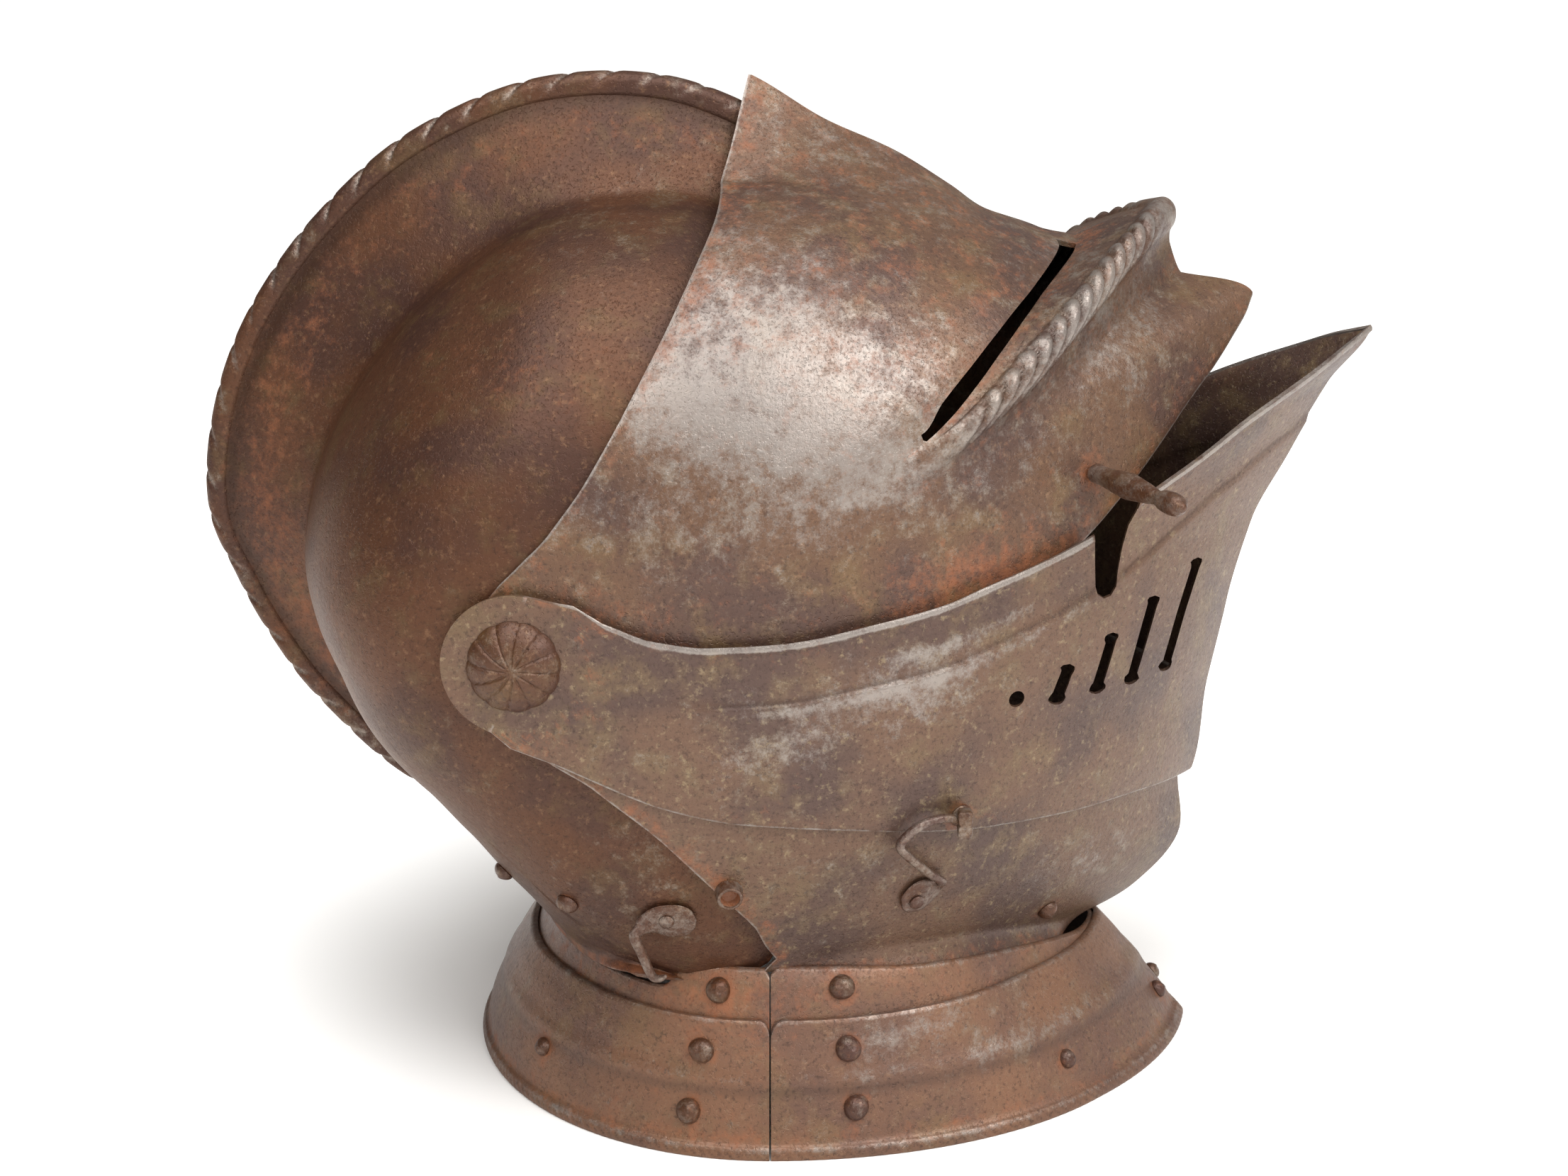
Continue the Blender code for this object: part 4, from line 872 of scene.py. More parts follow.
@dataclass
class VisorPlate(PivotPlate):
    """Visor with its sight, the roped ridge in front of the slit, and a keeled prow."""

    # Bare metal, partly painted highlight: the first two ovals also paint the broad highlight on the visor's
    # side, and the last lightens its top where light falls.
    rubbed: Rows = (
        (0.48, 6, 240, 52, 20, -24), (0.42, -30, 226, 30, 16, -20), (0.3, 10, 214, 34, 14, -20),
        (0.2, -20, 195, 60, 14), (0.25, 95, 240, 25, 20), (0.16, 25, 292, 70, 22, -20),
    )
    rusted: Rows = ((0.45, 52, 176, 26, 10, 15), (0.3, -60, 165, 30, 16))
    fastened: Rows = ((PEG[0][0], PEG[0][2]),)
    low_rows: int = 16
    ridge_rows: int = 26
    slit_rows: int = 3
    ridge_reach: float = 80 / 106
    strand: float = 7.4
    bead_height: float = 1.9
    notch_depth: float = 1.7

    def controls(self, girth: Array) -> dict[str, Array]:
        """Angles that bound the parts of the visor, and the ridge's height."""
        g = np.abs(girth)
        names = ("foot", "crest", "shelf", "brow", "lift")
        found = {name: column(SIGHT, i + 1, g) for i, name in enumerate(names)}
        found["hollow"] = found["foot"] - 2.6 - 24 * np.maximum(0.0, g - 0.64)
        return found | {"low": blended(VISOR_LOWER_EDGE, g), "back": blended(VISOR_BACK_EDGE, g)}

    def ridge_share(self, v: Array) -> Array:
        """Place over the ridge: 0 in the hollow before it, 0.5 on its crest, 1 on the shelf behind."""
        at = 2 * np.clip((v * self.rows - self.low_rows) / self.ridge_rows, 0.0, 1.0) - 1
        return 0.5 + 0.5 * np.sign(at) * np.abs(at) ** 1.6

    def angles(self, girth: Array, v: Array) -> Array:
        """Rows of the front, the ridge, the slit and the top."""
        at = self.controls(girth)
        i = v * self.rows
        low = np.interp(i, range(len(CLOSE_ROWS)), CLOSE_ROWS) / np.radians(self.form.reach(at["low"], girth))
        low = low * (1 - smooth(2, self.low_rows, i))
        share = np.clip((i - 2) / (self.low_rows - 2), 0, 1)
        front = at["low"] + low + (at["hollow"] - at["low"]) * share
        w = self.ridge_share(v)
        ridge = at["hollow"]
        for start, end, first, last in (
            ("hollow", "foot", 0, 0.22), ("foot", "crest", 0.22, 0.5), ("crest", "shelf", 0.5, 1)
        ):
            ridge = ridge + (at[end] - at[start]) * np.clip((w - first) / (last - first), 0, 1)
        slit_start = self.low_rows + self.ridge_rows
        slit = at["shelf"] + (at["brow"] - at["shelf"]) * np.clip((i - slit_start) / self.slit_rows, 0, 1)
        top_start = slit_start + self.slit_rows
        top_rows = self.rows - top_start
        top_v = np.clip((i - top_start) / top_rows, 0, 1)
        top = spaced(self.form, girth, top_v, top_rows, (at["brow"], at["back"]))
        return np.select([i <= self.low_rows, i <= slit_start, i <= top_start], [front, ridge, slit], top)

    def lift(self, girth: Array, v: Array) -> Array:
        """Height of the ridge."""
        shape = blended(((0, 0), (0.22, 0.45), (0.5, 1), (1, 0)), self.ridge_share(v))
        return self.controls(girth)["lift"] * shape

    def rope(self, u: Array, v: Array) -> tuple[Array, Array]:
        """Swell of the roped bead on the ridge, and the depth of its notches.

        Returns:
            Share of the bead's height and share of a notch's depth.
        """
        knots = np.linspace(0, 0.7, 200)
        at = self.controls(knots)
        crest = run_length(self.form.places(at["crest"], knots, at["lift"]))
        g = np.abs(self.girth(u))
        lift = self.controls(g)["lift"]
        w = self.ridge_share(v)
        from_crest = (w - 0.5) * 2 * lift
        across = from_crest / np.minimum(7.5, 0.6 * lift + 0.3) + 0.1
        bead = np.sqrt(np.maximum(0.0, 1 - across**2)) * (w > 0.12) * (w < 1)
        fade = smooth(0.03, 0.11, g) * (1 - smooth(0.49, 0.57, g))
        phase = (np.interp(g, knots, crest) + 0.62 * from_crest + 0.5 * np.sin(across * 2.2)) / self.strand
        return bead * (1 - smooth(0.5, 0.6, g)), twist(phase, 0.75) * bead * fade

    def relief(self, u: Array, v: Array) -> Array:
        """Roped bead along the ridge, and eased edges."""
        bead, notch = self.rope(u, v)
        return super().relief(u, v) + self.bead_height * bead - self.notch_depth * notch

    def refine(self, flat: bpy.types.Object) -> None:
        """Gives the roped ridge twice the rows and columns, and opens the slit beside the keel."""
        start, end = self.low_rows / self.rows, (self.low_rows + self.ridge_rows) / self.rows
        edit_faces(
            flat, lambda: bpy.ops.mesh.subdivide(number_cuts=1, ngon=False),
            lambda centre: start < centre.y < end and abs(centre.x - 0.5) < self.ridge_reach / 2,
        )
        knots = np.array(self.stations)
        inner, outer = (np.interp(girth, knots[:, 1], knots[:, 0]) / 2 for girth in (SIGHT_BRIDGE, SIGHT_END))
        top = end + self.slit_rows / self.rows
        edit_faces(
            flat, lambda: bpy.ops.mesh.delete(type="FACE"),
            lambda centre: end < centre.y < top and inner < abs(centre.x - 0.5) < outer,
        )

    def mask_values(self, u: Array, v: Array, at: Array) -> dict[Mask, Array]:
        """Bright strands and rims, partly wear and partly painted highlight; painted shade in the rope's
        notches and the hollow before the ridge; rusted shelf and hollow.
        """
        masks = super().mask_values(u, v, at)
        bead, notch = self.rope(u, v)
        g = np.abs(self.girth(u))
        w = self.ridge_share(v)
        on_ridge = 1 - smooth(0.56, 0.68, g)
        # Strands of the bead lightened: partly wear, partly painted highlight.
        masks[Mask.WORN_AND_HIGHLIT] = np.maximum(masks[Mask.WORN_AND_HIGHLIT], 0.3 * (bead - notch) * on_ridge)
        # Painted shade in the rope's notches and in the hollow before the ridge.
        masks[Mask.PAINTED_SHADE] = 0.6 * notch + 0.45 * on_ridge * bump(0.12, 0.16, w) * (w > 0)
        masks[Mask.RUST] += on_ridge * (0.3 * bump(0.93, 0.08, w) + 0.2 * bump(0.03, 0.12, w) * (w > 0))
        low_edge = (1 - smooth(0.0, 22.0, self.edge_distance(u, v))) * (v < 0.5)
        masks[Mask.RUST] += 0.35 * low_edge * smooth(0.25, 0.6, g)
        return masks


@dataclass
class UpperBevorPlate(PivotPlate):
    """Upper bevor with a raised lip over a sunk border, breaths and a notch for the peg."""

    rubbed: Rows = ((0.22, 42, 148, 22, 13), (0.2, 16, 140, 30, 10, 8), (0.18, -5, 128, 20, 8))
    fastened: Rows = (UPPER_STUD,)
    sunk: float = 0.8
    top_rows: Sequence[float] = (
        *CLOSE_ROWS, 1.5, 2.1, 2.8, 3.6, 4.6, 5.6, 6.6, 7.5, 8.3, 9.1, 9.9, 10.7, 11.5, 12.4, 13.4, 14.6, 16,
        18,
    )

    def angles(self, girth: Array, v: Array) -> Array:
        """Rows that are close over the whole border."""
        g = np.abs(girth)
        edges = (blended(UPPER_BOTTOM_EDGE, g), blended(UPPER_TOP_EDGE, g))
        return spaced(self.form, g, v, self.rows, edges, CLOSE_ROWS, self.top_rows)

    def on_border(self, u: Array, v: Array) -> tuple[Array, Array, Array]:
        """Distances above the step under the sunk border, below the top edge and from the pivot."""
        girth = self.girth(u)
        angle = self.angles(girth, v)
        reach = self.form.reach(angle, girth)
        above = np.radians(angle - blended(BORDER_STEP, reach)) * reach
        return above, np.radians(blended(UPPER_TOP_EDGE, np.abs(girth)) - angle) * reach, reach

    def relief(self, u: Array, v: Array) -> Array:
        """Lip, sunk border and step."""
        above, to_top, reach = self.on_border(u, v)
        border = smooth(-0.4, 0.9, above) * smooth(1.9, 3.0, to_top) * smooth(34, 60, reach)
        return super().relief(u, v) - self.sunk * border

    def mask_values(self, u: Array, v: Array, at: Array) -> dict[Mask, Array]:
        """Bright lip from wear, bright edge below the step, partly wear and partly painted highlight, and
        painted shade along the foot of the sunk border.
        """
        masks = super().mask_values(u, v, at)
        above, _, reach = self.on_border(u, v)
        lip = (1 - smooth(1.4, 2.4, self.edge_distance(u, v))) * (v > 0.5) * (v < 1)
        # Below the step: partly wear, partly painted highlight on the upward-facing edge.
        below = 0.26 * bump(-1.6, 2.2, above) * smooth(40, 90, reach) * (1 - smooth(150, 185, reach))
        in_border = 0.26 * bump(7.0, 2.2, above) * smooth(95, 115, reach) * (1 - smooth(140, 160, reach))
        masks[Mask.WORN_AND_HIGHLIT] = np.maximum(masks[Mask.WORN_AND_HIGHLIT], 0.6 * lip) + below + in_border
        # Painted shade along the foot of the sunk border, just above the step.
        masks[Mask.PAINTED_SHADE] = 0.6 * bump(0.9, 0.9, above) * smooth(34, 60, reach)
        masks[Mask.RUST] += 0.38 * (1 - smooth(16, 34, np.hypot(at[:, 0] - PIVOT_X, at[:, 2] - PIVOT_Z)))
        return masks

    def breath(self, top: tuple[float, float], foot: tuple[float, float], half: float) -> Rows:
        """Outline of a lancet slot from its foot to its top, a little uneven as if filed by hand."""
        start, span = np.array(foot), np.array(top) - np.array(foot)
        length = float(np.linalg.norm(span))
        along = span / length
        across = np.array((along[1], -along[0])) * half
        profile = (
            (-0.5, 0.0), (-0.2, 0.7), (0.4, 1.15), (1.3, 1.38), (2.2, 1.25), (3.2, 0.9), (length * 0.5, 0.9),
            (length - 3.0, 0.88), (length - 2.0, 1.05), (length - 1.1, 1.2), (length - 0.3, 0.95),
            (length + 0.3, 0.0),
        )
        points = [
            start + along * d + across * side * w * (1 + 0.09 * math.sin(d * rate + phase))
            for side, rate, phase, rows in ((1, 1.9, top[0], profile), (-1, 2.3, top[1], profile[-2:0:-1]))
            for d, w in rows
        ]
        return [(float(point[0]), float(point[1])) for point in points]

    def cut(self, made: bpy.types.Object) -> None:
        """Cuts the breaths, the round hole and the peg's notch, all on the right side."""
        near = -12.0
        tools = [prism(self.breath(*slot), near) for slot in BREATHS]
        turns = [math.radians(a) for a in range(0, 360, 15)]
        x, z, width, height = BREATH_HOLE
        tools.append(prism([(x + width * math.cos(a), z + height * math.sin(a)) for a in turns], near))
        reach, angle = np.array(NOTCH).T
        tools.append(prism(round_pivot(reach, angle, 0 * reach)[:, ::2], -20.0))
        for tool in tools:
            apply(made, "BOOLEAN", operation="DIFFERENCE", object=tool, solver="MANIFOLD")
            bpy.data.objects.remove(tool)


def plan_turn(place: Array) -> Array:
    """Direction of points round the gorget, in radians from the front."""
    half_width, front, back = (column(GORGET, i, place[:, 2]) for i in (1, 2, 4))
    reach = np.where(place[:, 0] > SEAM_X, front, back)
    return np.arctan2(place[:, 1] / half_width, (place[:, 0] - SEAM_X) / np.abs(reach - SEAM_X))


def gorget_place(height: Array, turn: Array, inset: Array | float) -> Array:
    """Points of the gorget: turn is 0 at the front, 90 at the left seam and 180 at the back."""
    half_width, front, prow, back = (column(GORGET, i, height) for i in (1, 2, 3, 4))
    inset = np.asarray(inset)
    a = np.radians(turn)
    y = (half_width - inset) * np.sin(a)
    ahead = (front - 1.25 * inset - SEAM_X) * np.cos(a) + prow * np.maximum(0.0, 1 - np.abs(y) / 60) ** 1.3
    behind = (SEAM_X - back - 1.25 * inset) * np.cos(a)
    return np.stack([SEAM_X + np.where(np.cos(a) >= 0, ahead, behind), y, height + 0 * y], axis=-1)


@dataclass
class LowerBevorPlate(PivotPlate):
    """Lower bevor, whose edge is flared to sit on the gorget's upper lame."""

    rubbed: Rows = ((0.2, 95, 70, 25, 14), (0.12, 20, 90, 30, 10))
    fastened: Rows = (BEVOR_RIVET, LOWER_STUD, BEVOR_HOOK_PIN)
    seated_to: float = 0.58
    below_lame_top: float = 1.6
    rim_inset: float = 4.4

    def __post_init__(self) -> None:
        """Works out the girths, the angles of the seated edge and how far it is flared there."""
        girths = np.linspace(0, self.seated_to, 59)
        low, high = np.full(len(girths), -64.0), np.full(len(girths), -30.0)
        for _ in range(34):
            angle = (low + high) / 2
            place = self.form.places(angle, girths)
            top = blended(FRONT_UPPER_TOP, np.maximum(0.0, np.cos(plan_turn(place))))
            above = place[:, 2] > top - self.below_lame_top
            low, high = np.where(above, low, angle), np.where(above, angle, high)
        place = self.form.places(angle, girths)
        rim = gorget_place(place[:, 2], np.degrees(plan_turn(place)), self.rim_inset)
        self.seats = girths, angle, np.hypot(rim[:, 0] - place[:, 0], rim[:, 1] - place[:, 1])

    def edges(self, girth: Array) -> tuple[Array, Array]:
        """Angles of the lower and the upper edge."""
        g = np.abs(girth)
        share = np.clip((g - 0.02) / 0.12, 0, 1) * (g < self.seated_to)
        back = blended(LOWER_BACK_EDGE, g)
        return back + (np.interp(g, *self.seats[:2]) - back) * share, blended(LOWER_TOP_EDGE, g)

    def angles(self, girth: Array, v: Array) -> Array:
        """Rows from the seated edge to the top."""
        return spaced(self.form, np.abs(girth), v, self.rows, self.edges(girth))

    def place(self, u: Array, v: Array) -> Array:
        """Bevor with its flared edge."""
        girth = self.girth(u)
        g = np.abs(girth)
        angle = self.angles(girth, v)
        at = self.form.places(angle, girth)
        low, high = self.edges(girth)
        share = np.clip(1 - (angle - low) / (0.1 * (high - low)), 0, 1) ** 1.2
        flare = np.interp(g, self.seats[0], self.seats[2]) * np.clip((g - 0.02) / 0.12, 0, 1)
        flare = flare * share * (1 - smooth(0.565, self.seated_to, g))
        half_length, half_width = 94.0, 87.0
        out = [(at[:, 0] - SEAM_X) / half_length**2, at[:, 1] / half_width**2, np.zeros(len(at))]
        return at + unit(np.stack(out, axis=-1)) * flare[:, None]

    def mask_values(self, u: Array, v: Array, at: Array) -> dict[Mask, Array]:
        """Rust on the flared edge."""
        masks = super().mask_values(u, v, at)
        masks[Mask.RUST] += 0.25 * (1 - smooth(0, 9, self.edge_distance(u, v))) * (v < 0.5)
        return masks


def comb_stations(half: int) -> Rows:
    """Stations of the skull's pattern: over the comb's edge, down its side and out to the pivot.

    Args:
        half: Columns on each side.

    Returns:
        Share of the half pattern and the girth there.
    """
    steps = [(i / 3, COMB_EDGE_RADIUS * math.sin(math.radians(10 * i))) for i in range(10)]
    steps += [
        (5, COMB_EDGE_RADIUS), (6, 5.4), (7, 7.0), (8, 8.8), (9, 10.8), (10, 13.0), (11, 15.2), (12, 17.4),
        (13, 19.6), (15, 24.0), (19, 33.0),
    ]
    found = [(step / half, SKULL_FORM.girth_at(y)) for step, y in steps]
    return (*found, (1.0, 1.0))


def even_stations(*knots: tuple[float, float]) -> Rows:
    """Stations that share out the columns between knots of (columns, girth)."""
    done = np.cumsum([columns for columns, _ in knots])
    return ((0.0, 0.0), *((end / done[-1], girth) for end, (_, girth) in zip(done, knots)))


# --------------------------------------------------------------------------------------------- gorget


@dataclass(frozen=True)
class LameShape:
    """Sizes of one lame of the gorget.

    Attributes:
        name: Node that it replaces.
        middle: Direction of its middle round the neck, in degrees.
        top: Advance (0 at the seam, 1 at the keel) and height of the top edge.
        body: Body that it rides on.
        bottom: Height of the lower edge.
        inset: How far it lies inside the lower lames, which have a rolled and roped lower edge.
    """

    name: str
    middle: float
    top: Rows
    body: Body
    bottom: float = 0.0
    inset: float = 0.0

    @property
    def rimmed(self) -> bool:
        """Whether its lower edge is rolled and roped."""
        return self.inset == 0


def lame_seat(x: float, z: float, layers: int) -> tuple[Vector, Vector, float]:
    """Seat of a rivet on the gorget's right side.

    Args:
        x: Distance forward.
        z: Height.
        layers: Lames that it joins.

    Returns:
        Its place, the outward direction and the thickness that it clamps.
    """
    low, high = (-90.0, 0.0) if x > SEAM_X else (-180.0, -90.0)
    inset = UPPER_INSET if z > UPPER_LAMES_FROM else 0.0
    for _ in range(40):
        turn = (low + high) / 2
        ahead = gorget_place(np.array([z]), np.array([turn]), inset)[0, 0] < x
        low, high = (turn, high) if ahead else (low, turn)
    steps = np.array([[0, 0], [1, 0], [-1, 0], [0, 0.5], [0, -0.5]])
    ring = gorget_place(z + steps[:, 0], turn + steps[:, 1], inset)
    out = np.cross(ring[3] - ring[4], ring[1] - ring[2])
    grip = LAME_WALL if layers == 1 else LAME_WALL + UPPER_INSET
    return Vector(ring[0]), Vector(out).normalized(), grip


@dataclass
class Gorget:
    """Four lames that close round the neck: two at the front, two at the back."""

    rubbed: Rows = ((0.26, 45, 35, 22, 5), (0.22, 72, 24, 22, 6), (0.16, 25, 30, 12, 8))
    rusted: Rows = ((0.16, -10, 40, 22, 20),)
    rim_height: float = 4.0
    rim_reach: float = 105.0
    crease: float = 23.0
    corners: tuple[float, float] = (2.0, 4.0)
    rope_pitch: float = 3.0
    half_turn: float = 90 - math.degrees(0.25 / 100)

    def shapes(self) -> tuple[LameShape, ...]:
        """The four lames."""
        return (
            LameShape("front_lower_lame", 0, FRONT_LOWER_TOP, Body.LOWER_BEVOR),
            LameShape("rear_lower_lame", 180, FRONT_LOWER_TOP, Body.SKULL),
            LameShape("front_upper_lame", 0, FRONT_UPPER_TOP, Body.LOWER_BEVOR, 29.0, UPPER_INSET),
            LameShape("rear_upper_lame", 180, REAR_UPPER_TOP, Body.SKULL, 28.0, UPPER_INSET),
        )

    def profile(self, rimmed: bool) -> list[tuple[float, float, float]]:
        """Closed section of a lame: height, share of the rise above it, and depth inside the outer face."""
        outer = [(0.0, i / 28, 0.0) for i in range(29)]
        top = [(-0.5, 1.0, 0.0), (0.15, 1.0, 0.4), (0.15, 1.0, LAME_WALL - 0.4)]
        inner = [(0.0, 1 - i / 10, LAME_WALL) for i in range(11)]
        if not rimmed:
            return [*outer[:-1], *top, *inner]
        turns = [math.radians(a) for a in range(-90, 91, 18)]
        roll = [(2.0 + 2.0 * math.sin(a), 0.0, -0.7 * math.cos(a) - 0.5) for a in turns]
        foot = [(4.6, 0.0, LAME_WALL), (3.6, 0.0, 2.6), (2.0, 0.0, 3.0), (0.6, 0.0, 2.8), (0.0, 0.0, 2.0)]
        return [*roll, (4.6, 0.0, 0.0), *outer[1:-1], *top, *inner[:-1], *foot]

    def build(self, shape: LameShape) -> bpy.types.Object:
        """Sweeps a lame's section round the neck and closes its ends."""
        profile = np.array(self.profile(shape.rimmed))
        made = flat_pattern(shape.name, 440 if shape.rimmed else 150, len(profile))
        co = coordinates(made)
        row = np.rint(co[:, 1] * len(profile)).astype(int) % len(profile)
        offset, share, depth = profile[row].T
        across = 2 * co[:, 0] - 1
        turn = shape.middle + self.half_turn * across
        high = blended(shape.top, np.abs(np.cos(np.radians(turn))))
        to_end = np.radians(self.half_turn * (1 - np.abs(across))) * 90
        corner = self.corners[shape.rimmed]
        high = high - corner * (1 - np.sqrt(1 - np.clip(1 - to_end / corner, 0, 1) ** 2))
        base = self.rim_height + 1 if shape.rimmed else shape.bottom
        height = np.where(share > 0, base + (high - base) * share, shape.bottom) + offset
        depth = depth - self.rope(turn, height, depth) * shape.rimmed - self.fold(height, depth)
        at = gorget_place(height, turn, shape.inset + depth)
        masks = {
            Mask.WORN_AND_HIGHLIT: self.worn(height, high, shape.rimmed) + patches(at, self.rubbed),
            Mask.RUST: self.rust(height, at, shape.rimmed) + patches(at, self.rusted),
            Mask.PAINTED_SHADE: self.painted_shade(height, turn, shape.rimmed),
        }
        write_masks(made, masks)
        write_coordinates(made, at)
        merge(made, 1e-6)
        edit_faces(made, lambda: bpy.ops.mesh.fill_holes(sides=0))
        outward(made)
        shade(made, 45)
        return made

    def notches(self, turn: Array, height: Array) -> Array:
        """Depth of the notches between the rim's fine slanting strands."""
        return twist((np.radians(turn) * self.rim_reach + 0.9 * height) / self.rope_pitch, 0.8)

    def rope(self, turn: Array, height: Array, depth: Array) -> Array:
        """Swell of the strands on the rolled rim."""
        return 0.3 * (0.4 - self.notches(turn, height)) * bump(2.0, 1.7, height) * (depth < 0)

    def fold(self, height: Array, depth: Array) -> Array:
        """Soft crease that runs round each lame."""
        return 0.5 * bump(self.crease, 2.6, height) * (depth < LAME_WALL + 0.01)

    def worn(self, height: Array, high: Array, rimmed: bool) -> Array:
        """Bright edges and rim from wear, and a bright line on the crease, partly wear and partly painted
        highlight.
        """
        edge = 0.2 * (1 - smooth(0.4, 1.4, high - height))
        # The crease's bright line: partly wear, partly painted highlight.
        folds = 0.12 * bump(self.crease + 1, 1.6, height) + 0.3 * bump(3.2, 0.9, height) * rimmed
        return np.maximum(edge, folds)

    def rust(self, height: Array, at: Array, rimmed: bool) -> Array:
        """Rust above the rim, round the rivets, behind and on the upper lames."""
        places = [lame_seat(*row[2:])[0] for row in LAME_RIVETS]
        rim = 0.25 * bump(self.rim_height + 2, 2.5, height) * rimmed
        return rim + 0.4 * spots(at, places, 7.5) + 0.08 * (at[:, 0] < SEAM_X) + 0.14 * (not rimmed)

    def painted_shade(self, height: Array, turn: Array, rimmed: bool) -> Array:
        """Painted shade below the crease and in the notches between the rim's strands."""
        strands = 0.7 * self.notches(turn, height) * bump(2.0, 1.7, height) * rimmed
        return strands + 0.5 * bump(self.crease - 3, 2.5, height)


# ---------------------------------------------------------------------------------------- small parts


def upright(out: Vector) -> tuple[Vector, Vector]:
    """Two directions across an axis, the first as near level as can be."""
    across = Vector((0, 0, 1)).cross(out)
    across = across.normalized() if across.length > 0.01 else Vector((1, 0, 0))
    return across, out.cross(across)


def turned(
    name: str, profile: Sequence[tuple[float, float]], place: Vector, out: Vector, sides: int = 24,
    shape: Callable[[Array, float, float], tuple[Array, Array]] | None = None,
) -> bpy.types.Object:
    """Body turned round an axis.

    Args:
        name: Name of the object.
        profile: Radius and height of each ring, from the outer end inwards, poles included.
        place: Where the axis meets the plate, in millimetres.
        out: Direction of the axis.
        sides: Faces round it.
        shape: Changes a ring's radii and heights; it gets the angles, the radius and the height.

    Returns:
        The body.
    """
    across, up = upright(out)
    angle = np.arange(sides) * 2 * math.pi / sides
    rings = []
    for radius, height in profile[1:-1]:
        radii, heights = shape(angle, radius, height) if shape else (radius + 0 * angle, height + 0 * angle)
        ring = np.array(place) + np.outer(radii * np.cos(angle), across) + np.outer(radii * np.sin(angle), up)
        rings.append(ring + np.outer(heights, out))
    start = np.array(place + out * profile[0][1])
    end = np.array(place + out * profile[-1][1])
    made = skin(name, np.array(rings), start, end)
    shade(made, 38)
    return made


def curve_through(rows: Array, finer: int) -> Array:
    """Rows of a smooth curve through given rows, with more of them."""
    padded = np.vstack([2 * rows[0] - rows[1], rows, 2 * rows[-1] - rows[-2]])
    found = []
    for i in range(len(rows) - 1):
        a, b, c, d = padded[i : i + 4]
        bend, twice = 2 * a - 5 * b + 4 * c - d, 3 * b - a - 3 * c + d
        found += [0.5 * (2 * b + (c - a) * t + bend * t**2 + twice * t**3) for t in np.arange(finer) / finer]
    return np.array([*found, rows[-1]])


def swept(
    name: str, rows: Sequence[tuple[float, ...]], facings: Sequence[Vector], sides: int = 20, finer: int = 4,
    squareness: float = 1.0,
) -> bpy.types.Object:
    """Bar swept through rows.

    Args:
        name: Name of the object.
        rows: x, y, z, width and thickness of each row.
        facings: Direction of the thickness at each row.
        sides: Faces round it.
        finer: Rings for each row.
        squareness: 1 for an oval section, less for a flatter one.

    Returns:
        The bar, with rounded ends.
    """
    fine = curve_through(np.hstack([np.array(rows), np.array(facings)]), finer)
    centre, width, thick, facing = fine[:, :3], fine[:, 3], fine[:, 4], fine[:, 5:]
    ahead = np.gradient(centre, axis=0)
    across = unit(np.cross(ahead, facing))
    face = unit(np.cross(across, ahead))
    angle = np.arange(sides) * 2 * math.pi / sides
    flat = np.sign(np.cos(angle)) * np.abs(np.cos(angle)) ** squareness
    deep = np.sign(np.sin(angle)) * np.abs(np.sin(angle)) ** squareness
    rings = centre[:, None] + across[:, None] * (width[:, None] / 2 * flat)[..., None]
    rings = rings + face[:, None] * (thick[:, None] / 2 * deep)[..., None]
    lead = unit(ahead)
    ends = []
    for index, sign in ((0, -1), (-1, 1)):
        away = sign * lead[index] * min(width[index], thick[index]) * 0.3
        small = centre[index] + (rings[index] - centre[index]) * 0.72 + away
        ends.append((small, centre[index] + away * 1.35))
    made = skin(name, np.array([ends[0][0], *rings, ends[1][0]]), ends[0][1], ends[1][1])
    shade(made, 50)
    return made


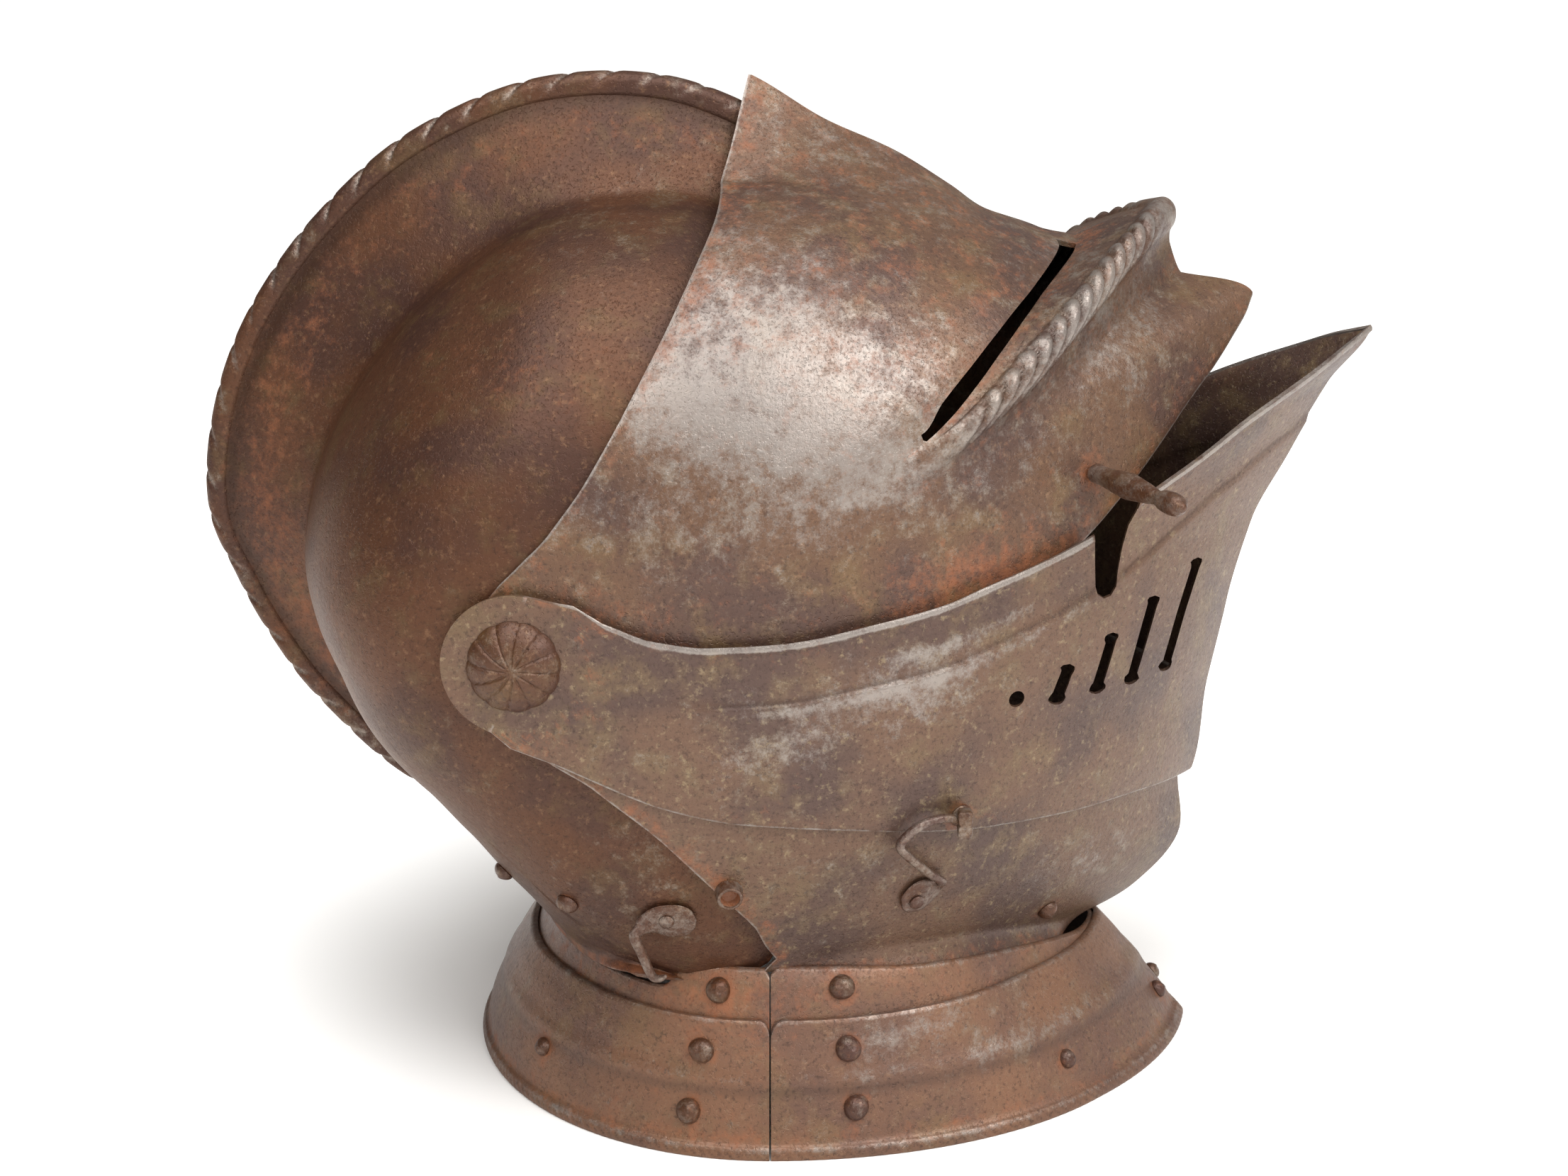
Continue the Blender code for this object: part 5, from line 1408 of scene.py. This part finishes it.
@dataclass
class Fittings:
    """Rivets, pivots, studs, hooks and the peg."""

    shank: float = 1.5
    rosette_radius: float = 13.2
    petals: int = 12

    def rivet(self, name: str, head: float, place: Vector, out: Vector, grip: float) -> bpy.types.Object:
        """Rivet with a hammered dome outside and a burr inside."""
        turns = [math.radians(a) for a in range(0, 86, 12)]
        domed = [(head * math.sin(a), 0.84 * head * math.cos(a) ** 0.9) for a in turns]
        foot = -grip - 0.25
        profile = domed + [
            (head, 0.25), (head * 0.96, 0.02), (self.shank, 0.0), (self.shank, foot), (2.2, foot - 0.05),
            (2.5, foot - 0.4), (2.0, foot - 0.9), (0, foot - 1.1),
        ]
        turn = (place.x * 0.7 + place.z) % 6.0

        def hammered(angle: Array, radius: float, height: float) -> tuple[Array, Array]:
            """Makes the dome a little uneven."""
            uneven = 0.12 * np.sin(2 * angle + turn) + 0.08 * np.sin(3 * angle + 2.3 * turn)
            return radius * (1 + 0.25 * uneven * (height > 0)), height * (1 + 0.5 * uneven * (height > 0.5))

        return turned(name, profile, place, out, 28, hammered)

    def rosette(self, name: str, side: int) -> bpy.types.Object:
        """Pivot rivet with a petalled head."""
        inner = UPPER_FORM.half_width - SKULL_FORM.half_width + WALL + 0.3
        radius = self.rosette_radius
        steps = [(0.4 + (radius - 0.4) * (i / 26) ** 0.85) for i in range(27)]
        domed = [(r, 0.35 + 5.25 * (1 - (r / radius) ** 2.3) ** 0.75) for r in steps]
        shank = PIVOT_HOLE - 0.5
        profile = [
            (0, 5.6), *domed, (radius - 0.15, 0.05), (shank, 0.03), (shank, -inner), (6.8, -inner - 0.1),
            (7.0, -inner - 0.8), (5.5, -inner - 1.7), (0, -inner - 2.0),
        ]

        def petalled(angle: Array, r: float, height: float) -> tuple[Array, Array]:
            """Scallops the edge and cuts a line between each two petals."""
            if height < 0.04:
                return r + 0 * angle, height + 0 * angle
            curl = angle + 0.012 * r
            wave = np.abs(np.sin(self.petals / 2 * curl))
            scallop = 1 - 0.03 * (1 - wave) ** 1.5 * smooth(0.6, 1.0, r / radius)
            across = 2 * r / self.petals * np.arcsin(np.minimum(1, wave))
            line = 0.38 * np.exp(-((across / 0.34) ** 2)) * smooth(0.8, 2.6, r)
            swell = 0.08 * (1 - wave) * smooth(3, 9, r)
            return r * scallop, np.maximum(height - line - swell, 0.04)

        place = Vector((PIVOT_X, side * UPPER_FORM.half_width, PIVOT_Z))
        return turned(name, profile, place, Vector((0, side, 0)), 192, petalled)

    def upper_stud(self) -> bpy.types.Object:
        """Flat post, taller than wide, with a groove across it for the hook's end."""
        place, out = UPPER_FORM.seat(*UPPER_STUD)
        profile = [
            (0, 8.6), (1.2, 8.6), (2.1, 8.5), (2.5, 8.1), (2.6, 7.2), (2.5, 6.0), (2.5, 4.8), (2.45, 3.8),
            (2.2, 2.9), (2.0, 2.3), (2.2, 1.7), (2.8, 1.3), (3.3, 1.0), (3.5, 0.7), (3.45, 0.3), (3.3, 0.02),
            (1.5, 0.0), (1.5, -1.1), (0, -1.2),
        ]

        def squared(angle: Array, radius: float, height: float) -> tuple[Array, Array]:
            """Makes the post's upper part a tall rectangle with a pinched middle."""
            c, s = np.abs(np.cos(angle)), np.abs(np.sin(angle))
            tall = ((c / 0.88) ** 6 + (s / 1.65) ** 6) ** (-1 / 6) - 0.2 * bump(0.0, 0.28, s)
            share = smooth(1.9, 3.2, height)
            return radius * (1 + (tall - 1) * share), height + 0 * angle

        made = turned("bevor_stud_post", profile, Vector(), Vector((0, 0, 1)), 48, squared)
        local = coordinates(made) / MM
        square_on = smooth(1.6, 3.2, local[:, 2])[:, None]
        level, rise = (np.array(axis) for axis in upright(out))
        sides = level + (np.array((1.0, 0.0, 0.0)) - level) * square_on
        ups = rise + (np.array((0.0, 0.0, 1.0)) - rise) * square_on
        low = np.minimum(local[:, 2:], 2.0)
        at = np.array(place) + low * np.array(out) + (local[:, 2:] - low) * np.array((0.0, -1.0, 0.0))
        write_coordinates(made, at + local[:, :1] * sides + local[:, 1:2] * ups)
        outward(made)
        return made

    def lower_stud(self) -> bpy.types.Object:
        """Short hollow stud, rusted inside."""
        place, out = LOWER_FORM.seat(*LOWER_STUD)
        profile = [
            (0, 1.0), (1.3, 1.05), (2.3, 1.3), (2.6, 2.0), (2.65, 3.2), (2.9, 3.9), (3.3, 4.1), (3.7, 3.85),
            (3.9, 3.0), (3.9, 1.6), (4.1, 0.6), (4.2, 0.25), (4.0, 0.02), (1.5, 0.0), (1.5, -1.2), (0, -1.3),
        ]
        made = turned("skull_stud_post", profile, place, out, 32)
        inside = [(Vector(row) - place).cross(out).length < 2.75 for row in coordinates(made) / MM]
        write_masks(made, {Mask.RUST: 0.9 * np.array(inside, float)})
        return made

    def hook(self, name: str, rows: Sequence[tuple[float, ...]], form: Form) -> bpy.types.Object:
        """Hook forged from a strip, lying on a plate."""
        placed, facings = [], []
        for x, z, lift, width, thick in rows:
            place, out = form.seat(x, z)
            placed.append((*(place + out * lift), width, thick))
            facings.append(out)
        return swept(name, placed, facings, 20, 5, 0.8)

    def hook_pin(self, name: str, spot: tuple[float, float], form: Form, grip: float) -> bpy.types.Object:
        """Flush rivet that a hook turns on."""
        place, out = form.seat(*spot)
        foot = -grip - 0.3 - 2.1
        profile = [
            (0, 1.15), (0.8, 1.12), (1.5, 0.95), (2.1, 0.65), (2.35, 0.3), (2.3, 0.02), (1.4, 0.0),
            (1.4, foot), (2.2, foot - 0.05), (2.3, foot - 0.5), (0, foot - 1.0),
        ]
        return turned(name, profile, place + out * 2.1, out, 24)

    def peg(self) -> bpy.types.Object:
        """Baluster peg with a button end, that lifts the visor."""
        place, out = VISOR_FORM.seat(PEG[0][0], PEG[0][2])
        rows = [(*(place - out * 2.5), 3.0, 3.0), (*(place + out * 0.5), 3.0, 3.0), *PEG[1:]]
        return swept("visor_peg", rows, [Vector((0, 0, 1))] * len(rows), 28, 5)


# ------------------------------------------------------------------------------------------- finishes


def linear(colour: str) -> tuple[float, float, float, float]:
    """Turns an sRGB hex colour into linear values with full opacity."""
    channels = [int(colour[i : i + 2], 16) / 255 for i in (1, 3, 5)]
    return (*[c / 12.92 if c <= 0.04045 else ((c + 0.055) / 1.055) ** 2.4 for c in channels], 1.0)


def add_node(
    tree: bpy.types.NodeTree, kind: str, links: dict, output: int | str = 0, **settings: object
) -> bpy.types.NodeSocket:
    """Adds a node.

    Args:
        tree: Tree that gets it.
        kind: Its type, without the leading ShaderNode.
        links: Values or output sockets for its inputs, by name or number.
        output: Output that is wanted.
        settings: Properties of the node.

    Returns:
        The output's socket.
    """
    node = tree.nodes.new("ShaderNode" + kind)
    for key, value in settings.items():
        setattr(node, key, value)
    for key, value in links.items():
        if isinstance(value, bpy.types.NodeSocket):
            tree.links.new(value, node.inputs[key])
        else:
            node.inputs[key].default_value = value
    return node.outputs[output]


@dataclass(frozen=True)
class AgedSteel:
    """Hammered plate steel under a brown skin of old rust, chafed back to grey metal in places.

    To the eye it is a dark brown with a broad soft sheen, clouded purple and olive and finely dotted, with
    torn-edged patches of warm grey where the metal shows, and orange rust in corners and round rivets.
    The warm grey also paints highlights, and the darkest brown paints shade, where the plates' masks ask.
    """

    name: str
    brown: str = "#492b17"
    purple: str = "#432a23"
    olive: str = "#553b1e"
    tan: str = "#86684f"
    bright: str = "#8d8279"
    rust: str = "#854a24"
    dark: str = "#2b1910"
    wear: float = 0.1
    rusted: float = 0.1
    metallic: float = 0.35
    roughness: float = 0.42
    sheen: str = "#ffffff"

    def material(self) -> bpy.types.Material:
        """Builds the finish from Object coordinates and the plates' masks.

        The clouds are 40 mm and 14 mm across, the dots, pits and tan grains of the skin 1.4 mm, 0.9 mm and
        2.3 mm, and the patches of bare metal and of fresh rust break up from 7 mm and 5 mm down.
        """
        made = bpy.data.materials.new(self.name)
        made.use_nodes = True
        tree = made.node_tree
        shader = tree.nodes["Principled BSDF"]
        where = add_node(tree, "TexCoord", {}, "Object")
        broad, clouds, dots, pits, grains, torn, scale = (
            add_node(
                tree, "TexNoise",
                {"Vector": where, "Scale": 1000 / size, "Detail": detail, "Roughness": rough}, "Fac",
            )
            for size, detail, rough in (
                (40, 3, 0.5), (14, 5, 0.65), (1.4, 3, 0.7), (0.9, 2, 0.6), (2.3, 4, 0.7), (7, 9, 0.86),
                (5, 8, 0.78),
            )
        )
        worn_and_highlit_mask, rust_mask, painted_shade_mask = (
            add_node(tree, "Attribute", {}, "Fac", attribute_name=mask.value) for mask in Mask
        )
        levels = []
        for mask, everywhere, edges in ((worn_and_highlit_mask, self.wear, torn), (rust_mask, self.rusted, scale)):
            level = add_node(tree, "Math", {0: mask, 1: everywhere}, operation="ADD")
            levels.append(add_node(tree, "Math", {0: level, 1: 0.5, 2: edges}, operation="MULTIPLY_ADD"))
        colour = linear(self.brown)
        shares = []
        for value, low, high, top, paint in (
            (broad, 0.42, 0.62, 0.8, self.purple), (clouds, 0.48, 0.68, 0.8, self.olive),
            (dots, 0.5, 0.72, 0.6, self.dark), (grains, 0.54, 0.74, 0.46, self.tan),
            # Bare metal, and painted highlights where the mask carries them.
            (levels[0], 0.6, 0.86, 0.75, self.bright), (levels[1], 0.62, 0.92, 0.62, self.rust),
            # Painted shade: the dark colour laid on by the painted-shade mask.
            (painted_shade_mask, 0.0, 1.0, 0.75, self.dark),
        ):
            share = add_node(
                tree, "MapRange", {0: value, 1: low, 2: high, 3: 0.0, 4: top}, interpolation_type="SMOOTHSTEP"
            )
            colour = add_node(tree, "Mix", {0: share, 6: colour, 7: linear(paint)}, 2, data_type="RGBA")
            shares.append(share)
        worn, rust = shares[4], shares[5]
        tree.links.new(colour, shader.inputs["Base Color"])

        for name, value, terms in (
            ("Metallic", self.metallic, ((worn, 0.7 - self.metallic), (rust, -0.6))),
            ("Roughness", self.roughness - 0.1, ((dots, 0.2), (worn, -0.08), (rust, 0.35))),
        ):
            for source, factor in terms:
                links = {0: source, 1: factor, 2: value}
                value = add_node(tree, "Math", links, operation="MULTIPLY_ADD", use_clamp=source == rust)
            tree.links.new(value, shader.inputs[name])
        shader.inputs["Specular Tint"].default_value = linear(self.sheen)
        pitted = add_node(tree, "MapRange", {0: pits, 1: 0.44, 2: 0.3}, interpolation_type="SMOOTHSTEP")
        height = add_node(tree, "Math", {0: pitted, 1: -0.7, 2: dots}, operation="MULTIPLY_ADD")
        height = add_node(tree, "Math", {0: clouds, 1: 1.2, 2: height}, operation="MULTIPLY_ADD")
        normal = add_node(tree, "Bump", {"Strength": 0.75, "Distance": 0.0002, "Height": height})
        tree.links.new(normal, shader.inputs["Normal"])
        return made


STEELS = {
    "skull_steel": AgedSteel(
        "browned_skull_steel", brown="#4c2f1f", purple="#392520", olive="#4f3a25", tan="#7a5b42",
        rust="#7b4729", wear=0.02, rusted=0.08, sheen="#ecd8ca",
    ),
    "visor_steel": AgedSteel(
        "browned_visor_steel", brown="#5a402e", purple="#432f29", olive="#634c31", bright="#8f8882",
        wear=0.12, rusted=0.16,
    ),
    "bevor_steel": AgedSteel(
        "browned_bevor_steel", brown="#5c4333", purple="#42302b", olive="#614d36", tan="#948263",
        bright="#8f8882", wear=0.09, rusted=0.06,
    ),
    "gorget_steel": AgedSteel(
        "browned_gorget_steel", brown="#704f3a", purple="#5a4136", olive="#6b5038", bright="#938a83",
        wear=0.1, rusted=0.12,
    ),
    "rosette_steel": AgedSteel("browned_rosette_steel", wear=0.15),
    "worn_steel": AgedSteel("rubbed_steel", wear=0.35),
    "rivet_steel": AgedSteel("rusted_rivet_steel", wear=0.25, rusted=0.25),
}


# ---------------------------------------------------------------------------------------------- stage


HELMET_MIDDLE = Vector((0, 0, 0.15))


def aimed(name: str, data: bpy.types.ID, place: tuple[float, float, float]) -> bpy.types.Object:
    """A lamp or camera at a place in metres, turned to the middle of the helmet."""
    made = bpy.data.objects.new(name, data)
    made.location = place
    made.rotation_euler = (HELMET_MIDDLE - made.location).to_track_quat("-Z", "Y").to_euler()
    bpy.context.collection.objects.link(made)
    return made


def build_stage() -> None:
    """Pale floor that glows, with a painted shadow round the helmet where the glow fades; soft studio lights
    and the camera.
    """
    bpy.context.scene.view_settings.view_transform = "Standard"
    deselect()
    bpy.ops.mesh.primitive_plane_add(size=60.0, location=(0, 0, 0))
    floor = bpy.context.object
    floor.name = "studio_floor"
    paper = bpy.data.materials.new("glowing_white_paper")
    paper.use_nodes = True
    tree = paper.node_tree
    shader = tree.nodes["Principled BSDF"]
    shader.inputs["Base Color"].default_value = linear("#f2f1ef")
    shader.inputs["Roughness"].default_value = 0.9
    shader.inputs["Emission Color"].default_value = linear("#ffffff")
    # Painted light: the floor glows white, and its glow fades to nothing within 0.09 m of the middle as a
    # painted shadow round the helmet.
    where = add_node(tree, "TexCoord", {}, "Object")
    away = add_node(tree, "VectorMath", {0: where}, "Value", operation="LENGTH")
    glow = add_node(
        tree, "MapRange", {0: away, 1: 0.09, 2: 0.3, 3: 0.0, 4: 0.6}, interpolation_type="SMOOTHSTEP"
    )
    tree.links.new(glow, shader.inputs["Emission Strength"])
    floor.data.materials.append(paper)
    world = bpy.context.scene.world or bpy.data.worlds.new("studio")
    bpy.context.scene.world = world
    world.use_nodes = True
    sky = world.node_tree
    background = sky.nodes["Background"]
    background.inputs["Color"].default_value = linear("#fbf8f4")
    facing = add_node(sky, "TexCoord", {}, "Generated")
    facing = add_node(sky, "VectorMath", {0: facing, 1: (0.62, -0.3, 0.72)}, "Value", operation="DOT_PRODUCT")
    glow = add_node(
        sky, "MapRange", {0: facing, 1: -0.5, 2: 0.9, 3: 0.12, 4: 0.7}, interpolation_type="SMOOTHSTEP"
    )
    sky.links.new(glow, background.inputs["Strength"])
    for name, place, size, power in (
        ("key", (0.9, -0.95, 1.2), 1.1, 26.0),
        ("window", (-0.45, -1.1, 1.15), 0.55, 7.0),
        ("overhead", (-0.15, -0.4, 1.6), 1.0, 13.0),
    ):
        data = bpy.data.lights.new(name, "AREA")
        data.size, data.energy = size, power
        aimed(name, data, place)
    lens = bpy.data.cameras.new("camera")
    lens.lens = 52.73
    bpy.context.scene.camera = aimed("camera", lens, (0.0, -0.7113, 0.354))


def plates() -> list[PivotPlate]:
    """The four plates that hang on the pivots."""
    ridge = even_stations((10, 0.06), (70, 0.6), (14, 0.8), (12, 1.0))
    bevor = even_stations((74, 0.66), (14, 0.88), (12, 1.0))
    return [
        SkullPlate("skull_plate", Body.SKULL, "skull_steel", SKULL_FORM, 140, 180, comb_stations(70)),
        VisorPlate("visor_plate", Body.VISOR, "visor_steel", VISOR_FORM, 212, 104, ridge),
        UpperBevorPlate("upper_bevor_plate", Body.UPPER_BEVOR, "bevor_steel", UPPER_FORM, 200, 84, bevor),
        LowerBevorPlate("lower_bevor_plate", Body.LOWER_BEVOR, "bevor_steel", LOWER_FORM, 160, 44, bevor),
    ]


def place_piece(
    made: bpy.types.Object, material: bpy.types.Material, body: Body, node: str
) -> None:
    """Dresses a piece and hands it to the frame."""
    made.data.materials.clear()
    made.data.materials.append(material)
    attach(made, body.value)
    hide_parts(node)
    LOG.info("%s: %d faces on %s", made.name, len(made.data.polygons), body.value)


def mirrored(place: Vector, side: int) -> Vector:
    """The place or direction on one side, from the one on the right."""
    return Vector((place.x, -side * place.y, place.z))


def build_rivets(fittings: Fittings, steel: bpy.types.Material) -> None:
    """Every rivet of the plates and lames, on both sides."""
    for side, end in ((-1, "_right"), (1, "_left")):
        seats = []
        for name, head, x, z, layers in LAME_RIVETS:
            body = Body.SKULL if x < SEAM_X else Body.LOWER_BEVOR
            seats.append((name, head, *lame_seat(x, z, layers), body))
        for name, head, spot, form, grip, body in (
            ("lining_rivet", 3.4, LINING_RIVET, SKULL_FORM, 2 * WALL, Body.SKULL),
            ("nape_rivet", 3.4, NAPE_RIVET, SKULL_FORM, 2 * WALL, Body.SKULL),
            ("bevor_rivet", 3.4, BEVOR_RIVET, LOWER_FORM, WALL, Body.LOWER_BEVOR),
        ):
            seats.append((name, head, *form.seat(*spot), grip, body))
        for name, head, place, out, grip, body in seats:
            place, out = mirrored(place, side), mirrored(out, side)
            made = fittings.rivet(name + end + "_dome", head, place, out, grip)
            place_piece(made, steel, body, name + end)


def build_fittings(finishes: dict[str, bpy.types.Material]) -> None:
    """Rivets, pivots, studs, hooks and the peg."""
    fittings = Fittings()
    build_rivets(fittings, finishes["rivet_steel"])
    for side, end in ((-1, "_right"), (1, "_left")):
        made = fittings.rosette("rosette" + end, side)
        place_piece(made, finishes["rosette_steel"], Body.SKULL, "rosette_rivet" + end)
    pieces = (
        (fittings.peg(), Body.VISOR, "lifting_peg"),
        (fittings.upper_stud(), Body.UPPER_BEVOR, "bevor_stud"),
        (fittings.lower_stud(), Body.LOWER_BEVOR, "skull_stud"),
        (fittings.hook("bevor_hook_bar", BEVOR_HOOK, LOWER_FORM), Body.BEVOR_HOOK, "bevor_hook"),
        (fittings.hook("skull_hook_bar", SKULL_HOOK, SKULL_FORM), Body.SKULL_HOOK, "skull_hook"),
        (
            fittings.hook_pin("bevor_hook_pin", BEVOR_HOOK_PIN, LOWER_FORM, WALL),
            Body.LOWER_BEVOR, "bevor_hook_rivet",
        ),
        (
            fittings.hook_pin("skull_hook_pin", SKULL_HOOK_PIN, SKULL_FORM, 2 * WALL),
            Body.SKULL, "skull_hook_rivet",
        ),
    )
    for made, body, node in pieces:
        place_piece(made, finishes["worn_steel"], body, node)


def main() -> None:
    """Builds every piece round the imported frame."""
    logging.basicConfig(level=logging.INFO, format="%(name)s: %(message)s")
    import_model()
    build_stage()
    finishes = {slot: steel.material() for slot, steel in STEELS.items()}
    for plate in plates():
        made = plate.build()
        place_piece(made, finishes[plate.slot], plate.body, plate.name.replace("_plate", ""))
    gorget = Gorget()
    for shape in gorget.shapes():
        made = gorget.build(shape)
        made.name = shape.name + "_sheet"
        place_piece(made, finishes["gorget_steel"], shape.body, shape.name)
    build_fittings(finishes)


if __name__ == "__main__":
    main()
